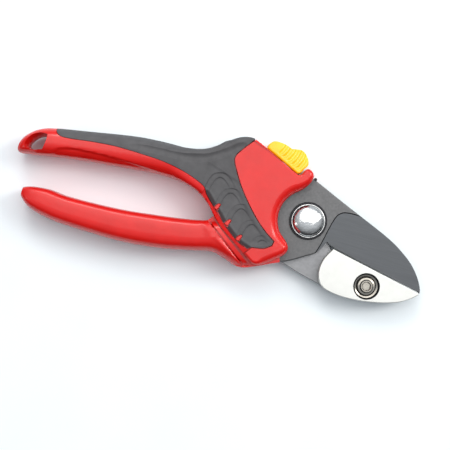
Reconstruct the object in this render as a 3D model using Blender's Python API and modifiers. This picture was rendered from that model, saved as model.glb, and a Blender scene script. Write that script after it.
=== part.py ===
"""Anvil pruning shears: two crossing levers, a blade that closes on an anvil, and a thumb lock.

Frame: the origin is on the pivot axis, on the surface that the shears lie on. +X runs to the tip
of the jaws, +Y to the thumb side, +Z up through the front face. Sizes are in millimetres.
"""

import math

import bmesh
import bpy
from mathutils import Vector

MM = 0.001

# Overall sizes
HANDLE_REACH = 154.5         # pivot axis to the far end of the upper handle
JAW_REACH = 66.4             # pivot axis to the tip of the blade, along X
BODY_THICKNESS = 22.0        # handles and head, front to back
DRAWN_HANDLE_REACH = 154.5   # the handles' reach at which the outlines below are drawn
DRAWN_JAW_REACH = 66.4       # the jaws' reach at which the outlines below are drawn
HEAD_ROOT = -60.0            # where the bars of the handles meet the heads, along X
PIVOT_EYE = 9.0              # outlines within this distance of the pivot don't stretch
GRIP_THICKNESS = 2.0         # soft grip over the handle's core

# Plates
BLADE_THICKNESS = 2.8
ARM_THICKNESS = 3.0
TANG_SKIN = 1.5              # lower handle's moulding behind the blade's tang
HEAD_SKIN = 4.1              # lower handle's moulding in front of the tang

# Pivot
PIVOT_SHAFT_RADIUS = 4.0
PIVOT_HEAD_RADIUS = 8.7
PIVOT_DOME = 4.4
PIVOT_WASHER_RIM = 1.1       # how far the washer shows round the bolt's head
PIVOT_WASHER_THICKNESS = 0.6
PIVOT_NUT_WALL = 3.2         # round the thread, to the nut's corners
NUT_FLOOR = 0.8

# Fasteners
ANVIL_SCREW_RADIUS = 2.5
ANVIL_SCREW_FLANGE = 6.3
ANVIL_SCREW_DOME = 4.7
HEX_SOCKET_RADIUS = 2.3
BODY_SCREW_RADIUS = 1.6
BODY_SCREW_HEAD = 2.9
RIVET_RADIUS = 2.0
RIVET_HEAD = 2.8
HEAD_RECESS = 0.5            # from the resting plane to the heads of the screws and rivet
BODY_SCREW_SEAT = 2.0
RIVET_SEAT = 1.7
BOSS_RADIUS = 3.0            # round the cover screw
HEX_SOCKET_DEPTH = 2.0
BLADE_PIN_RADIUS = 2.0

# Thumb lock
LOCK_TRAVEL = 5.0
SLIDER_WIDTH = 15.0
LOCK_BAR_WIDTH = 5.0
LOCK_BAR_THICKNESS = 3.5
LOCK_BAR_TOP = 28.6          # end of the lock bar inside the slider, along Y
TOP_WALL = 3.0

# Return spring
SPRING_WIRE = 1.4
SPRING_TURNS = 4
SPRING_PITCH = 1.6

# Clearances
GAP = 0.3                    # between faces that meet
BORE_CLEARANCE = 0.3         # round a shaft or screw
SWING_CLEARANCE = 0.4        # between the arm and the lower handle's head
PLAY = 0.5                   # round the lock bar and the blade's heel
BED_OVERLAP = 0.1            # how far the cover's bed runs into the band's core
PAST = 5.0                   # how far a cutter runs past the faces that it cuts

# Rounding
HEAD_ROUNDING = 2.4
SLIDER_ROUNDING = 1.2
BAR_SQUARENESS = 2.8         # exponent of the bars' rounded sections
ROOT_SQUARENESS = 7.0        # the same where the upper bar runs into the head
ROOT_LENGTH = 18.0           # over which the upper bar's section turns from one to the other

# Levels, from the surface that the shears lie on
MIDDLE = BODY_THICKNESS / 2
BLADE_BACK = MIDDLE - BLADE_THICKNESS / 2
BLADE_FRONT = MIDDLE + BLADE_THICKNESS / 2
HEAD_BACK = BLADE_BACK - GAP - TANG_SKIN
HEAD_FRONT = BLADE_FRONT + GAP + HEAD_SKIN
ARM_FRONT = HEAD_BACK - SWING_CLEARANCE
ARM_BACK = ARM_FRONT - ARM_THICKNESS
CAVITY_BACK = HEAD_BACK - GAP
CAVITY_FRONT = HEAD_FRONT + PLAY
COVER_BACK = CAVITY_FRONT + 0.1
RECESS_BACK = COVER_BACK - GAP
ANVIL_BACK = ARM_FRONT + GAP
ANVIL_FRONT = 2 * MIDDLE - ANVIL_BACK
WASHER_BACK = BLADE_FRONT + GAP
WASHER_FRONT = WASHER_BACK + PIVOT_WASHER_THICKNESS
LOCK_BACK = BLADE_FRONT + PLAY
LOCK_FRONT = LOCK_BACK + LOCK_BAR_THICKNESS
SCREW_END = HEAD_FRONT - 2.5

# Places in plan
TRACK_START = Vector((-38.4, 32.0))      # the straight track under the slider, rear end
TRACK_END = Vector((-12.8, 20.9))
TRACK = (TRACK_END - TRACK_START).normalized()
NOSE_FOOT = (-4.2, 22.1)                 # where the blade's back comes out from under the nose
HEEL_RADIUS = Vector(NOSE_FOOT).length   # blade's round heel about the pivot
COVER_SCREW = (-33.5, 15.0)
BODY_SCREW = (-37.8, 25.2)
ARM_RIVET = (-11.2, -19.0)
BLADE_PINS = ((-20.0, -15.5), (-31.0, -14.5))
LOCK_BAR_X = -19.5                       # middle of the lock bar with the slider forward

COLOURS = {
    "red_nylon": ((0.66, 0.02, 0.02), 0.35, 0.0),
    "grey_rubber": ((0.10, 0.10, 0.105), 0.80, 0.0),
    "yellow_nylon": ((0.92, 0.66, 0.01), 0.40, 0.0),
    "coated_steel": ((0.13, 0.14, 0.15), 0.45, 0.6),
    "plain_steel": ((0.45, 0.45, 0.46), 0.35, 1.0),
    "bright_steel": ((0.80, 0.80, 0.81), 0.12, 1.0),
    "aluminium": ((0.88, 0.88, 0.87), 0.30, 1.0),
}


def clear_scene():
    """Empty the file, so that it holds only the shears."""
    for obj in list(bpy.data.objects):
        bpy.data.objects.remove(obj, do_unlink=True)
    for collection in list(bpy.data.collections):
        bpy.data.collections.remove(collection)


def make_collection(name):
    """A collection linked to the scene."""
    collection = bpy.data.collections.new(name)
    bpy.context.scene.collection.children.link(collection)
    return collection


def material(name):
    """A Principled material from the table of finishes."""
    found = bpy.data.materials.get(name)
    if found:
        return found
    colour, roughness, metallic = COLOURS[name]
    made = bpy.data.materials.new(name)
    made.use_nodes = True
    shader = made.node_tree.nodes["Principled BSDF"]
    shader.inputs["Base Color"].default_value = (*colour, 1.0)
    shader.inputs["Roughness"].default_value = roughness
    shader.inputs["Metallic"].default_value = metallic
    return made


# Outlines ------------------------------------------------------------------------------------

def arc(radius, start, end, steps, centre=(0.0, 0.0)):
    """Points along an arc, angles in degrees."""
    points = []
    for i in range(steps + 1):
        angle = math.radians(start + (end - start) * i / steps)
        points.append((centre[0] + radius * math.cos(angle), centre[1] + radius * math.sin(angle)))
    return points


def signed_area(outline):
    """Positive where the outline runs anticlockwise."""
    total = 0.0
    for (x0, y0), (x1, y1) in zip(outline, outline[1:] + outline[:1]):
        total += x0 * y1 - x1 * y0
    return total / 2


def offset(outline, distance):
    """The outline moved outward by the distance, or inward where it is negative."""
    sign = 1.0 if signed_area(outline) > 0 else -1.0
    result = []
    count = len(outline)
    for i in range(count):
        before, here, after = (Vector(outline[(i + k) % count]) for k in (-1, 0, 1))
        first = (here - before).normalized()
        second = (after - here).normalized()
        normal = Vector((first.y + second.y, -first.x - second.x))
        normal = normal.normalized() if normal.length > 1e-6 else Vector((first.y, -first.x))
        spread = max(0.5, normal.dot(Vector((first.y, -first.x))))
        result.append(tuple(here + normal * (sign * distance / spread)))
    return result


def jaw(points):
    """Outline points of the jaws, stretched along X past the pivot's eye to the jaws' reach."""
    stretch = (JAW_REACH - PIVOT_EYE) / (DRAWN_JAW_REACH - PIVOT_EYE)
    return [(x if x < PIVOT_EYE else PIVOT_EYE + (x - PIVOT_EYE) * stretch, y) for x, y in points]


def handle_x(x):
    """A station on a handle, stretched behind the head to the handles' reach."""
    if x > HEAD_ROOT:
        return x
    return HEAD_ROOT + (x - HEAD_ROOT) * (HANDLE_REACH + HEAD_ROOT) / (DRAWN_HANDLE_REACH + HEAD_ROOT)


def handles(points):
    """Outline points along the handles, stretched as handle_x does."""
    return [(handle_x(x), y) for x, y in points]


ANVIL_SCREW = jaw([(38.7, -23.6)])[0]

# The head's right edge: nose, round cut about the pivot, and lower horn.
HEAD_EDGE = (
    [tuple(TRACK_END), (-10.8, 21.4), (-9.6, 24.2), (-8.4, 25.3), (-6.6, 25.1), (-5.0, 23.9),
     NOSE_FOOT, (-5.0, 18.6), (-7.6, 14.7)]
    + arc(16.0, 135, 218, 9)
    + [(-8.4, -13.4), (-6.6, -15.6), (-6.2, -18.0), (-7.6, -20.8), (-11.1, -24.1),
       (-15.8, -27.8), (-18.2, -29.2), (-20.0, -29.5)]
)
# The head's lower left edge, along the lower handle's collar.
HEAD_SEAM = [(-22.6, -28.9), (-30.3, -23.7), (-36.8, -19.7), (-42.5, -16.0), (-47.1, -12.0)]
# The hump in front of the hand and the throat behind the head.
HEAD_REAR = [(-49.0, -10.1), (-54.5, -5.1), (HEAD_ROOT, -1.9), (HEAD_ROOT, 20.8), (-56.5, 23.3),
             (-52.5, 27.2), (-48.1, 30.2), (-43.5, 31.9)]
HEAD = HEAD_EDGE + HEAD_SEAM + HEAD_REAR + [tuple(TRACK_START)]

# The front panel's left edge, which is also the grip band's right edge, from the top down.
PANEL_EDGE = [(-38.6, 31.4), (-45.0, 22.2), (-45.6, 18.7), (-42.6, 13.1), (-38.2, 6.5),
              (-32.0, -0.8), (-25.4, -7.4), (-19.4, -12.1), (-14.2, -15.3), (-14.6, -17.8),
              (-18.2, -20.3), (-24.4, -21.7)]
# The grip's lower edge along the handle, from the hanging end to the head.
GRIP_EDGE = handles([(-137.9, 9.5), (-137.0, 5.7), (-133.3, 4.1), (-116.6, 6.3), (-105.2, 7.4),
                     (-91.2, 7.5), (-81.3, 7.2), (-72.3, 6.0), (-63.8, 3.9), (-56.5, 0.8)])
# The grip band's lower left edge on the head.
BAND_EDGE = [(-54.0, -1.6), (-46.2, -8.6), (-38.0, -15.8), (-30.3, -20.8), (-26.0, -22.6)]

# Sections of the upper handle: x, thumb side y, finger side y, thickness as a share of the body's.
UPPER_SECTIONS = [
    (-154.5, -5.2, -8.6, 0.40), (-153.6, -2.0, -9.6, 0.66), (-151.4, 1.0, -9.7, 0.82),
    (-148.0, 4.0, -9.0, 0.92), (-143.7, 6.3, -8.3, 0.97), (-137.7, 8.0, -7.0, 1.0),
    (-120.8, 11.4, -4.2, 1.0), (-106.5, 14.3, -2.4, 1.0), (-94.1, 16.4, -0.8, 1.0),
    (-81.1, 17.5, 0.5, 1.0), (-70.6, 17.9, 0.5, 1.0), (-62.1, 19.9, -1.2, 1.0),
    (-56.5, 23.3, -3.8, 0.99), (-52.5, 27.0, -6.8, 0.98), (-47.0, 29.9, -11.2, 0.97),
]
# Sections of the lower handle, in the same way.
LOWER_SECTIONS = [
    (-146.6, -27.6, -30.2, 0.50), (-145.6, -26.3, -31.8, 0.70), (-143.0, -25.0, -33.9, 0.85),
    (-139.5, -24.2, -35.9, 0.92), (-132.9, -23.5, -37.6, 0.98), (-123.1, -24.1, -38.7, 1.0),
    (-103.0, -23.2, -38.9, 1.0), (-91.1, -22.1, -38.6, 1.0), (-77.6, -20.2, -37.3, 1.0),
    (-65.0, -18.2, -35.1, 1.0), (-52.7, -15.6, -32.2, 1.0), (-43.6, -12.0, -29.9, 1.0),
    (-36.6, -11.0, -31.2, 1.0), (-30.0, -12.0, -33.3, 0.98), (-25.0, -14.0, -33.0, 0.94),
    (-21.5, -16.0, -32.0, 0.90),
]
COLLAR = (Vector((-48.4, -12.6)), Vector((-23.6, -30.2)))   # where the lower handle's bar ends


# Shapes --------------------------------------------------------------------------------------

class Maker:
    """Makes the shears' pieces and their cutters in two collections."""

    def __init__(self):
        self.parts = make_collection("pruning_shears")
        self.cutters = make_collection("cutters")

    def place(self, name, data, finish, location=(0.0, 0.0, 0.0)):
        """Link an object: a piece if it has a finish, and a cutter if not."""
        obj = bpy.data.objects.new(name, data)
        obj.location = Vector(location) * MM
        if finish:
            data.materials.append(material(finish))
            self.parts.objects.link(obj)
        else:
            obj.hide_render = True
            obj.display_type = "WIRE"
            self.cutters.objects.link(obj)
        return obj

    def plate(self, name, outline, back, front, finish=None):
        """A flat plate: a filled 2D curve, extruded and made a mesh."""
        flat = bpy.data.curves.new(name + "_outline", "CURVE")
        flat.dimensions = "2D"
        flat.fill_mode = "BOTH"
        flat.extrude = (front - back) / 2 * MM
        spline = flat.splines.new("POLY")
        spline.points.add(len(outline) - 1)
        for point, (x, y) in zip(spline.points, outline):
            point.co = (x * MM, y * MM, 0.0, 1.0)
        spline.use_cyclic_u = True
        guide = bpy.data.objects.new(name + "_curve", flat)
        self.cutters.objects.link(guide)
        view = bpy.context.evaluated_depsgraph_get()
        mesh = bpy.data.meshes.new_from_object(guide.evaluated_get(view))
        bpy.data.objects.remove(guide, do_unlink=True)
        bm = bmesh.new()
        bm.from_mesh(mesh)
        bmesh.ops.remove_doubles(bm, verts=bm.verts, dist=1e-6)
        bmesh.ops.recalc_face_normals(bm, faces=bm.faces)
        bm.to_mesh(mesh)
        bm.free()
        mesh.name = name
        return self.place(name, mesh, finish, (0.0, 0.0, (back + front) / 2))

    def turned(self, name, profile, finish=None, centre=(0.0, 0.0), steps=32):
        """A turned piece from a profile of radius and height, run down its outer side."""
        mesh = bpy.data.meshes.new(name)
        bm = bmesh.new()
        verts = [bm.verts.new((r * MM, 0.0, z * MM)) for r, z in profile]
        closed = profile[0][0] > 0.0
        for a, b in zip(verts, verts[1:] + (verts[:1] if closed else [])):
            bm.edges.new((a, b))
        bm.to_mesh(mesh)
        bm.free()
        obj = self.place(name, mesh, finish, (centre[0], centre[1], 0.0))
        screw = obj.modifiers.new("turn", "SCREW")
        screw.axis = "Z"
        screw.steps = steps
        screw.render_steps = steps
        screw.use_merge_vertices = True
        screw.merge_threshold = 0.00001
        screw.use_smooth_shade = True
        return obj

    def cylinder(self, name, radius, back, front, centre, sides=32):
        """A round cutter along Z."""
        mesh = bpy.data.meshes.new(name)
        bm = bmesh.new()
        bmesh.ops.create_cone(bm, cap_ends=True, segments=sides, radius1=radius * MM,
                              radius2=radius * MM, depth=(front - back) * MM)
        bm.to_mesh(mesh)
        bm.free()
        return self.place(name, mesh, None, (centre[0], centre[1], (back + front) / 2))

    def loft(self, name, sections, inset=0.0, finish=None, root=BAR_SQUARENESS):
        """A handle's bar: rounded sections along X, with closed ends, squarer at its root."""
        sides = 20
        mesh = bpy.data.meshes.new(name)
        bm = bmesh.new()
        rings = []
        for x, thumb, finger, share in sections:
            if x < sections[0][0] + inset:
                continue
            half_width = max(0.4, (thumb - finger) / 2 - inset)
            half_depth = max(0.8, MIDDLE * share - inset)
            near_root = min(1.0, max(0.0, (x - HEAD_ROOT + ROOT_LENGTH) / ROOT_LENGTH))
            corner = 2.0 / (BAR_SQUARENESS + (root - BAR_SQUARENESS) * near_root)
            ring = []
            for i in range(sides):
                angle = 2 * math.pi * (i + 0.5) / sides
                c, s = math.cos(angle), math.sin(angle)
                y = (thumb + finger) / 2 + half_width * math.copysign(abs(c) ** corner, c)
                z = MIDDLE + half_depth * math.copysign(abs(s) ** corner, s)
                ring.append(bm.verts.new((handle_x(x) * MM, y * MM, z * MM)))
            rings.append(ring)
        for a, b in zip(rings, rings[1:]):
            for i in range(sides):
                j = (i + 1) % sides
                bm.faces.new((a[i], a[j], b[j], b[i]))
        bm.faces.new(rings[0])
        bm.faces.new(rings[-1])
        bmesh.ops.recalc_face_normals(bm, faces=bm.faces)
        bm.to_mesh(mesh)
        bm.free()
        return self.place(name, mesh, finish)

    def boolean(self, obj, other, operation):
        """Cut, join or keep the common part, as a modifier."""
        modifier = obj.modifiers.new(operation.lower(), "BOOLEAN")
        modifier.operation = operation
        modifier.object = other
        modifier.solver = "EXACT"
        return obj

    def cut(self, obj, other):
        return self.boolean(obj, other, "DIFFERENCE")

    def join(self, obj, other):
        return self.boolean(obj, other, "UNION")

    def keep(self, obj, other):
        return self.boolean(obj, other, "INTERSECT")

    def bore(self, obj, radius, back, front, centre, name):
        """A round hole."""
        return self.cut(obj, self.cylinder(name, radius, back, front, centre))


def soften_plate(obj, width, segments=2):
    """Round a plate's top and bottom edges."""
    bm = bmesh.new()
    bm.from_mesh(obj.data)
    level = [f for f in bm.faces if abs(f.normal.z) > 0.9]
    rims = set()
    for face in level:
        for edge in face.edges:
            if any(abs(other.normal.z) < 0.5 for other in edge.link_faces):
                rims.add(edge)
    bmesh.ops.bevel(bm, geom=list(rims), offset=width * MM, segments=segments, profile=0.5,
                    affect="EDGES", clamp_overlap=True, material=-1)
    bm.to_mesh(obj.data)
    bm.free()
    return obj


# The upper handle and what it carries --------------------------------------------------------

def upper_form(make, name, inset, finish=None):
    """The upper handle's whole outside: the bar joined to the head."""
    head = make.plate(name + "_head", offset(HEAD, -inset) if inset else HEAD,
                      inset, BODY_THICKNESS - inset)
    soften_plate(head, HEAD_ROUNDING)
    bar = make.loft(name, UPPER_SECTIONS, inset, finish, ROOT_SQUARENESS)
    return make.join(bar, head)


def grip_region():
    """Plan outline of what the grip covers; it runs past the thumb side."""
    outside = handles([(-138.5, 26.0)])
    past_top = [(-60.0, 45.0), (-36.0, 45.0), (-36.0, 35.2)]
    return outside + GRIP_EDGE + BAND_EDGE + PANEL_EDGE[::-1] + past_top[::-1]


def panel_region():
    """Plan outline of the front panel; it runs past the head's right edge."""
    return PANEL_EDGE + [(-26.0, -24.0), (-34.0, -34.0), (10.0, -34.0), (10.0, 45.0),
                         (-36.0, 45.0), (-36.0, 35.2)]


def panel_outline():
    """The front cover's own left edge keeps a gap to the wall of its bed."""
    return offset(panel_region(), BED_OVERLAP - GAP)


def blade_outline():
    """Blade, heel and tang in one plate."""
    working = jaw([(9.5, -13.9), (12.7, -7.3), (15.4, -9.2), (16.6, -9.6), (65.1, -18.7),
                   (66.4, -19.3), (66.1, -17.2), (63.6, -12.6), (60.3, -8.4), (56.6, -4.9),
                   (52.4, -1.9), (46.8, 1.5), (40.8, 4.3), (32.5, 7.6), (24.9, 10.5),
                   (11.3, 15.8)])
    heel = arc(HEEL_RADIUS, 101, 197, 12)
    tang = [(-36.0, -8.4), (-37.0, -17.0), (-34.0, -21.5), (-14.0, -24.5), (-6.7, -24.1),
            (5.3, -17.1)]
    return working + heel + tang


def anvil_outline(step=0.0):
    """The anvil's plan; its straight edge meets the blade's."""
    points = jaw([(16.7, -10.1), (13.7, -15.9), (12.7, -20.6), (13.1, -24.8), (15.2, -29.1),
                  (19.5, -31.5), (30.1, -32.4), (43.2, -30.8), (55.7, -27.2), (62.6, -23.0),
                  (65.9, -19.9), (65.1, -19.1)])
    return offset(points, step) if step else points


def arm_outline():
    """The plate that carries the anvil: under the anvil, round the pivot and into the head."""
    under_anvil = jaw([(-6.5, -24.6), (4.2, -27.5), (14.0, -29.6), (19.0, -31.2), (30.1, -31.9),
                       (43.0, -30.3), (55.3, -26.8), (61.6, -22.8), (62.0, -19.6), (17.5, -11.4),
                       (14.2, -8.2), (15.2, -2.0)])
    eye = arc(14.6, 12, 88, 6)
    in_head = [(-9.0, 16.8), (-24.0, 23.4), (-34.5, 28.2), (-40.0, 27.6), (-41.5, 21.0),
               (-39.0, 8.0), (-30.0, -2.0), (-18.5, -9.0), (-18.0, -17.0), (-14.0, -23.2)]
    return under_anvil + eye + in_head


def lower_head_outline():
    """The lower handle's head: it holds the tang and carries the claw of the lock."""
    near_pivot = [(-8.1, -24.7), (-9.8, -19.5)] + arc(17.2, 234, 195.2, 5)
    claw = [(-34.5, -4.5), (-34.5, 2.0), (-28.0, 2.0), (-28.0, 6.0), (-40.5, 6.0), (-41.5, -4.0)]
    neck = [(-46.0, -10.0), (-50.6, -15.6), (-60.0, -20.0), (-60.0, -31.5), (-44.0, -28.2),
            (-33.0, -31.6), (-28.5, -33.1), (-24.3, -32.5), (-18.0, -29.7), (-12.4, -26.7)]
    return near_pivot + claw + neck


def cavity_outline():
    """The space in the upper handle's head for the heel, the lower head and the lock bar."""
    under_wall = Vector((-TRACK.y, TRACK.x)) * -TOP_WALL
    wall_front = TRACK_END + under_wall - TRACK * 1.2
    wall_rear = TRACK_START + under_wall + TRACK * 7.6
    past_nose = [(40.0, -60.0), (40.0, 10.0)]
    nose = arc(HEEL_RADIUS + PLAY + 0.1, 50, 122, 9)
    rear = [(-35.0, 21.5), (-42.5, 17.0), (-42.5, 4.0), (-46.0, -5.0), (-53.0, -9.0),
            (-70.0, -25.0), (-70.0, -60.0)]
    return past_nose + nose + [tuple(wall_front), tuple(wall_rear)] + rear


def make_upper_handle(make):
    """Core and uncovered skin of the upper handle, with all that is cut into it."""
    handle = upper_form(make, "upper_handle", 0.0, "red_nylon")
    make.cut(handle, make.plate("grip_bed", grip_region(), -PAST, BODY_THICKNESS + PAST))
    make.join(handle, upper_form(make, "handle_core", GRIP_THICKNESS + GAP))
    make.cut(handle, make.plate("cover_bed", offset(panel_region(), BED_OVERLAP), RECESS_BACK,
                                BODY_THICKNESS + PAST))
    make.cut(handle, make.plate("cavity", cavity_outline(), CAVITY_BACK, CAVITY_FRONT))
    make.cut(handle, make.plate("arm_bed", offset(arm_outline(), GAP), ARM_BACK - GAP,
                                ARM_FRONT + GAP))
    slot_rear = LOCK_BAR_X - LOCK_BAR_WIDTH / 2 - TRACK.x * LOCK_TRAVEL - PLAY
    slot_front = LOCK_BAR_X + LOCK_BAR_WIDTH / 2 + PLAY
    slot = [(slot_rear, 12.0), (slot_front, 12.0), (slot_front, 40.0), (slot_rear, 40.0)]
    make.cut(handle, make.plate("lock_slot", slot, LOCK_BACK - GAP, LOCK_FRONT + GAP))
    for name, centre, depth in (("cover_screw_hole", COVER_SCREW, CAVITY_BACK + 1.0),
                                ("body_screw_hole", BODY_SCREW, SCREW_END + PLAY)):
        make.bore(handle, BODY_SCREW_RADIUS + BORE_CLEARANCE, -1.0, depth, centre, name)
        make.bore(handle, BODY_SCREW_HEAD + BORE_CLEARANCE, -1.0, BODY_SCREW_SEAT + GAP, centre,
                  name + "_mouth")
    make.bore(handle, RIVET_RADIUS + BORE_CLEARANCE, -1.0, CAVITY_BACK + 1.0, ARM_RIVET,
              "arm_rivet_hole")
    make.bore(handle, RIVET_HEAD + BORE_CLEARANCE, -1.0, RIVET_SEAT + GAP, ARM_RIVET,
              "arm_rivet_mouth")
    loop = handles([(-149.4, -4.6), (-148.4, -2.4), (-146.6, 0.0), (-144.4, 1.6), (-141.4, 2.6),
                    (-141.2, 0.1), (-141.8, -4.4), (-144.6, -5.6), (-147.6, -6.2),
                    (-149.0, -5.7)])
    make.cut(handle, make.plate("hang_loop", loop, -PAST, BODY_THICKNESS + PAST))
    return handle


def make_front_cover(make):
    """Front panel of the head, with the boss that takes the cover screw."""
    cover = upper_form(make, "front_cover", 0.0, "red_nylon")
    make.keep(cover, make.plate("cover_block", panel_outline(), COVER_BACK,
                                BODY_THICKNESS + PAST))
    boss_back = ARM_FRONT + 2 * GAP
    make.join(cover, make.cylinder("cover_boss", BOSS_RADIUS, boss_back, COVER_BACK + 1.0,
                                   COVER_SCREW, 24))
    make.bore(cover, BODY_SCREW_RADIUS + BORE_CLEARANCE, boss_back - 1.0, SCREW_END + PLAY,
              COVER_SCREW, "cover_boss_hole")
    return cover


def make_grip(make):
    """Soft grip over the thumb side and across the head, front and back."""
    grip = upper_form(make, "soft_grip", 0.0, "grey_rubber")
    region = offset(grip_region(), -GAP)
    make.keep(grip, make.plate("grip_block", region, -PAST, BODY_THICKNESS + PAST))
    make.cut(grip, upper_form(make, "grip_core", GRIP_THICKNESS))
    return grip


def make_arm(make):
    """Steel arm plate with holes for the pivot, screws and rivet."""
    arm = make.plate("anvil_arm", arm_outline(), ARM_BACK, ARM_FRONT, "plain_steel")
    for name, centre, radius in (
            ("arm_pivot_hole", (0.0, 0.0), PIVOT_SHAFT_RADIUS),
            ("arm_cover_screw_hole", COVER_SCREW, BODY_SCREW_RADIUS),
            ("arm_body_screw_hole", BODY_SCREW, BODY_SCREW_RADIUS),
            ("arm_own_rivet_hole", ARM_RIVET, RIVET_RADIUS),
            ("arm_anvil_screw_hole", ANVIL_SCREW, ANVIL_SCREW_RADIUS)):
        make.bore(arm, radius + BORE_CLEARANCE, ARM_BACK - 1.0, ARM_FRONT + 1.0, centre, name)
    return arm


def make_anvil(make):
    """Aluminium anvil with a counterbored screw hole."""
    anvil = make.plate("anvil", anvil_outline(), ANVIL_BACK, ANVIL_FRONT, "aluminium")
    make.bore(anvil, ANVIL_SCREW_RADIUS + BORE_CLEARANCE, ANVIL_BACK - 1.0, ANVIL_FRONT + 1.0,
              ANVIL_SCREW, "anvil_hole")
    make.bore(anvil, ANVIL_SCREW_FLANGE + 2 * BORE_CLEARANCE, MIDDLE, ANVIL_FRONT + 1.0,
              ANVIL_SCREW, "anvil_counterbore")
    return anvil


def make_fasteners(make):
    """Screws, rivet and the pivot's own pieces."""
    seat = MIDDLE + GAP
    top = ANVIL_FRONT + 0.3
    flange, dome, shaft = ANVIL_SCREW_FLANGE, ANVIL_SCREW_DOME, ANVIL_SCREW_RADIUS
    screw = make.turned("anvil_screw", [
        (0.0, top), (dome - 1.2, top), (dome, top - 1.2), (dome, seat + 1.0),
        (flange, seat + 0.8), (flange, seat), (shaft, seat), (shaft, ARM_BACK + 0.2),
        (0.0, ARM_BACK + 0.2)], "bright_steel", ANVIL_SCREW)
    make.cut(screw, make.cylinder("hex_socket", HEX_SOCKET_RADIUS, top - HEX_SOCKET_DEPTH,
                                  top + 1.0, ANVIL_SCREW, 6))

    for name, centre in (("cover_screw", COVER_SCREW), ("body_screw", BODY_SCREW)):
        make.turned(name, [
            (0.0, SCREW_END), (BODY_SCREW_RADIUS, SCREW_END), (BODY_SCREW_RADIUS, BODY_SCREW_SEAT),
            (BODY_SCREW_HEAD, BODY_SCREW_SEAT), (BODY_SCREW_HEAD, HEAD_RECESS),
            (0.0, HEAD_RECESS)],
            "plain_steel", centre, 20)
    make.turned("arm_rivet", [
        (0.0, ARM_FRONT - 0.1), (RIVET_RADIUS, ARM_FRONT - 0.1), (RIVET_RADIUS, RIVET_SEAT),
        (RIVET_HEAD, RIVET_SEAT), (RIVET_HEAD, HEAD_RECESS), (0.0, HEAD_RECESS)],
        "plain_steel", ARM_RIVET, 20)

    head_back = WASHER_FRONT + GAP
    shaft = PIVOT_SHAFT_RADIUS
    dome_points = []
    for i in range(6):
        angle = math.radians(90 - 15 * i)
        dome_points.append((PIVOT_HEAD_RADIUS * math.cos(angle),
                            head_back + 1.0 + (PIVOT_DOME - 1.0) * math.sin(angle)))
    dome_points[0] = (0.0, dome_points[0][1])
    make.turned("pivot_bolt", dome_points + [
        (PIVOT_HEAD_RADIUS, head_back + 1.0), (PIVOT_HEAD_RADIUS, head_back), (shaft, head_back),
        (shaft, NUT_FLOOR + GAP), (0.0, NUT_FLOOR + GAP)], "bright_steel")
    bore = shaft + BORE_CLEARANCE
    for name, radius, back, front, finish in (
            ("pivot_washer", PIVOT_HEAD_RADIUS + PIVOT_WASHER_RIM, WASHER_BACK, WASHER_FRONT,
             "coated_steel"),
            ("pivot_spacer", PIVOT_HEAD_RADIUS + GAP, ARM_FRONT + GAP, BLADE_BACK - GAP,
             "plain_steel")):
        make.turned(name, [(radius, front), (radius, back), (bore, back), (bore, front)], finish)
    nut_front = ARM_BACK - GAP
    corner = bore + PIVOT_NUT_WALL
    nut = make.turned("pivot_nut", [
        (0.0, nut_front), (corner, nut_front), (corner, 0.0), (0.0, 0.0)],
        "plain_steel", steps=6)
    make.bore(nut, bore, NUT_FLOOR, nut_front + 1.0, (0.0, 0.0), "nut_thread")


def make_spring(make):
    """Torsion spring round the cover's boss: one leg on the top wall, one on the claw."""
    wire = SPRING_WIRE / 2
    coil_radius = BOSS_RADIUS + PLAY + 0.2 + wire
    cx, cy = COVER_SCREW
    east = cx + coil_radius
    low = CAVITY_BACK + PLAY + 2 * wire
    wall_y = TRACK_START.y + (east - TRACK_START.x) * TRACK.y / TRACK.x - TOP_WALL / TRACK.x
    points = [(east, wall_y - wire - 2 * GAP, low), (east, cy + 3.0, low)]
    per_turn = 14
    for i in range(SPRING_TURNS * per_turn + 1):
        angle = -2 * math.pi * i / per_turn
        points.append((cx + coil_radius * math.cos(angle), cy + coil_radius * math.sin(angle),
                       low + SPRING_PITCH * i / per_turn))
    high = low + SPRING_PITCH * SPRING_TURNS
    points += [(east, cy - 3.0, high), (east, 6.0 + GAP + wire, high)]
    data = bpy.data.curves.new("return_spring", "CURVE")
    data.dimensions = "3D"
    data.bevel_depth = wire * MM
    data.bevel_resolution = 2
    data.use_fill_caps = True
    spline = data.splines.new("POLY")
    spline.points.add(len(points) - 1)
    for point, (x, y, z) in zip(spline.points, points):
        point.co = (x * MM, y * MM, z * MM, 1.0)
    return make.place("return_spring", data, "plain_steel")


# The thumb lock ------------------------------------------------------------------------------

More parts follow.
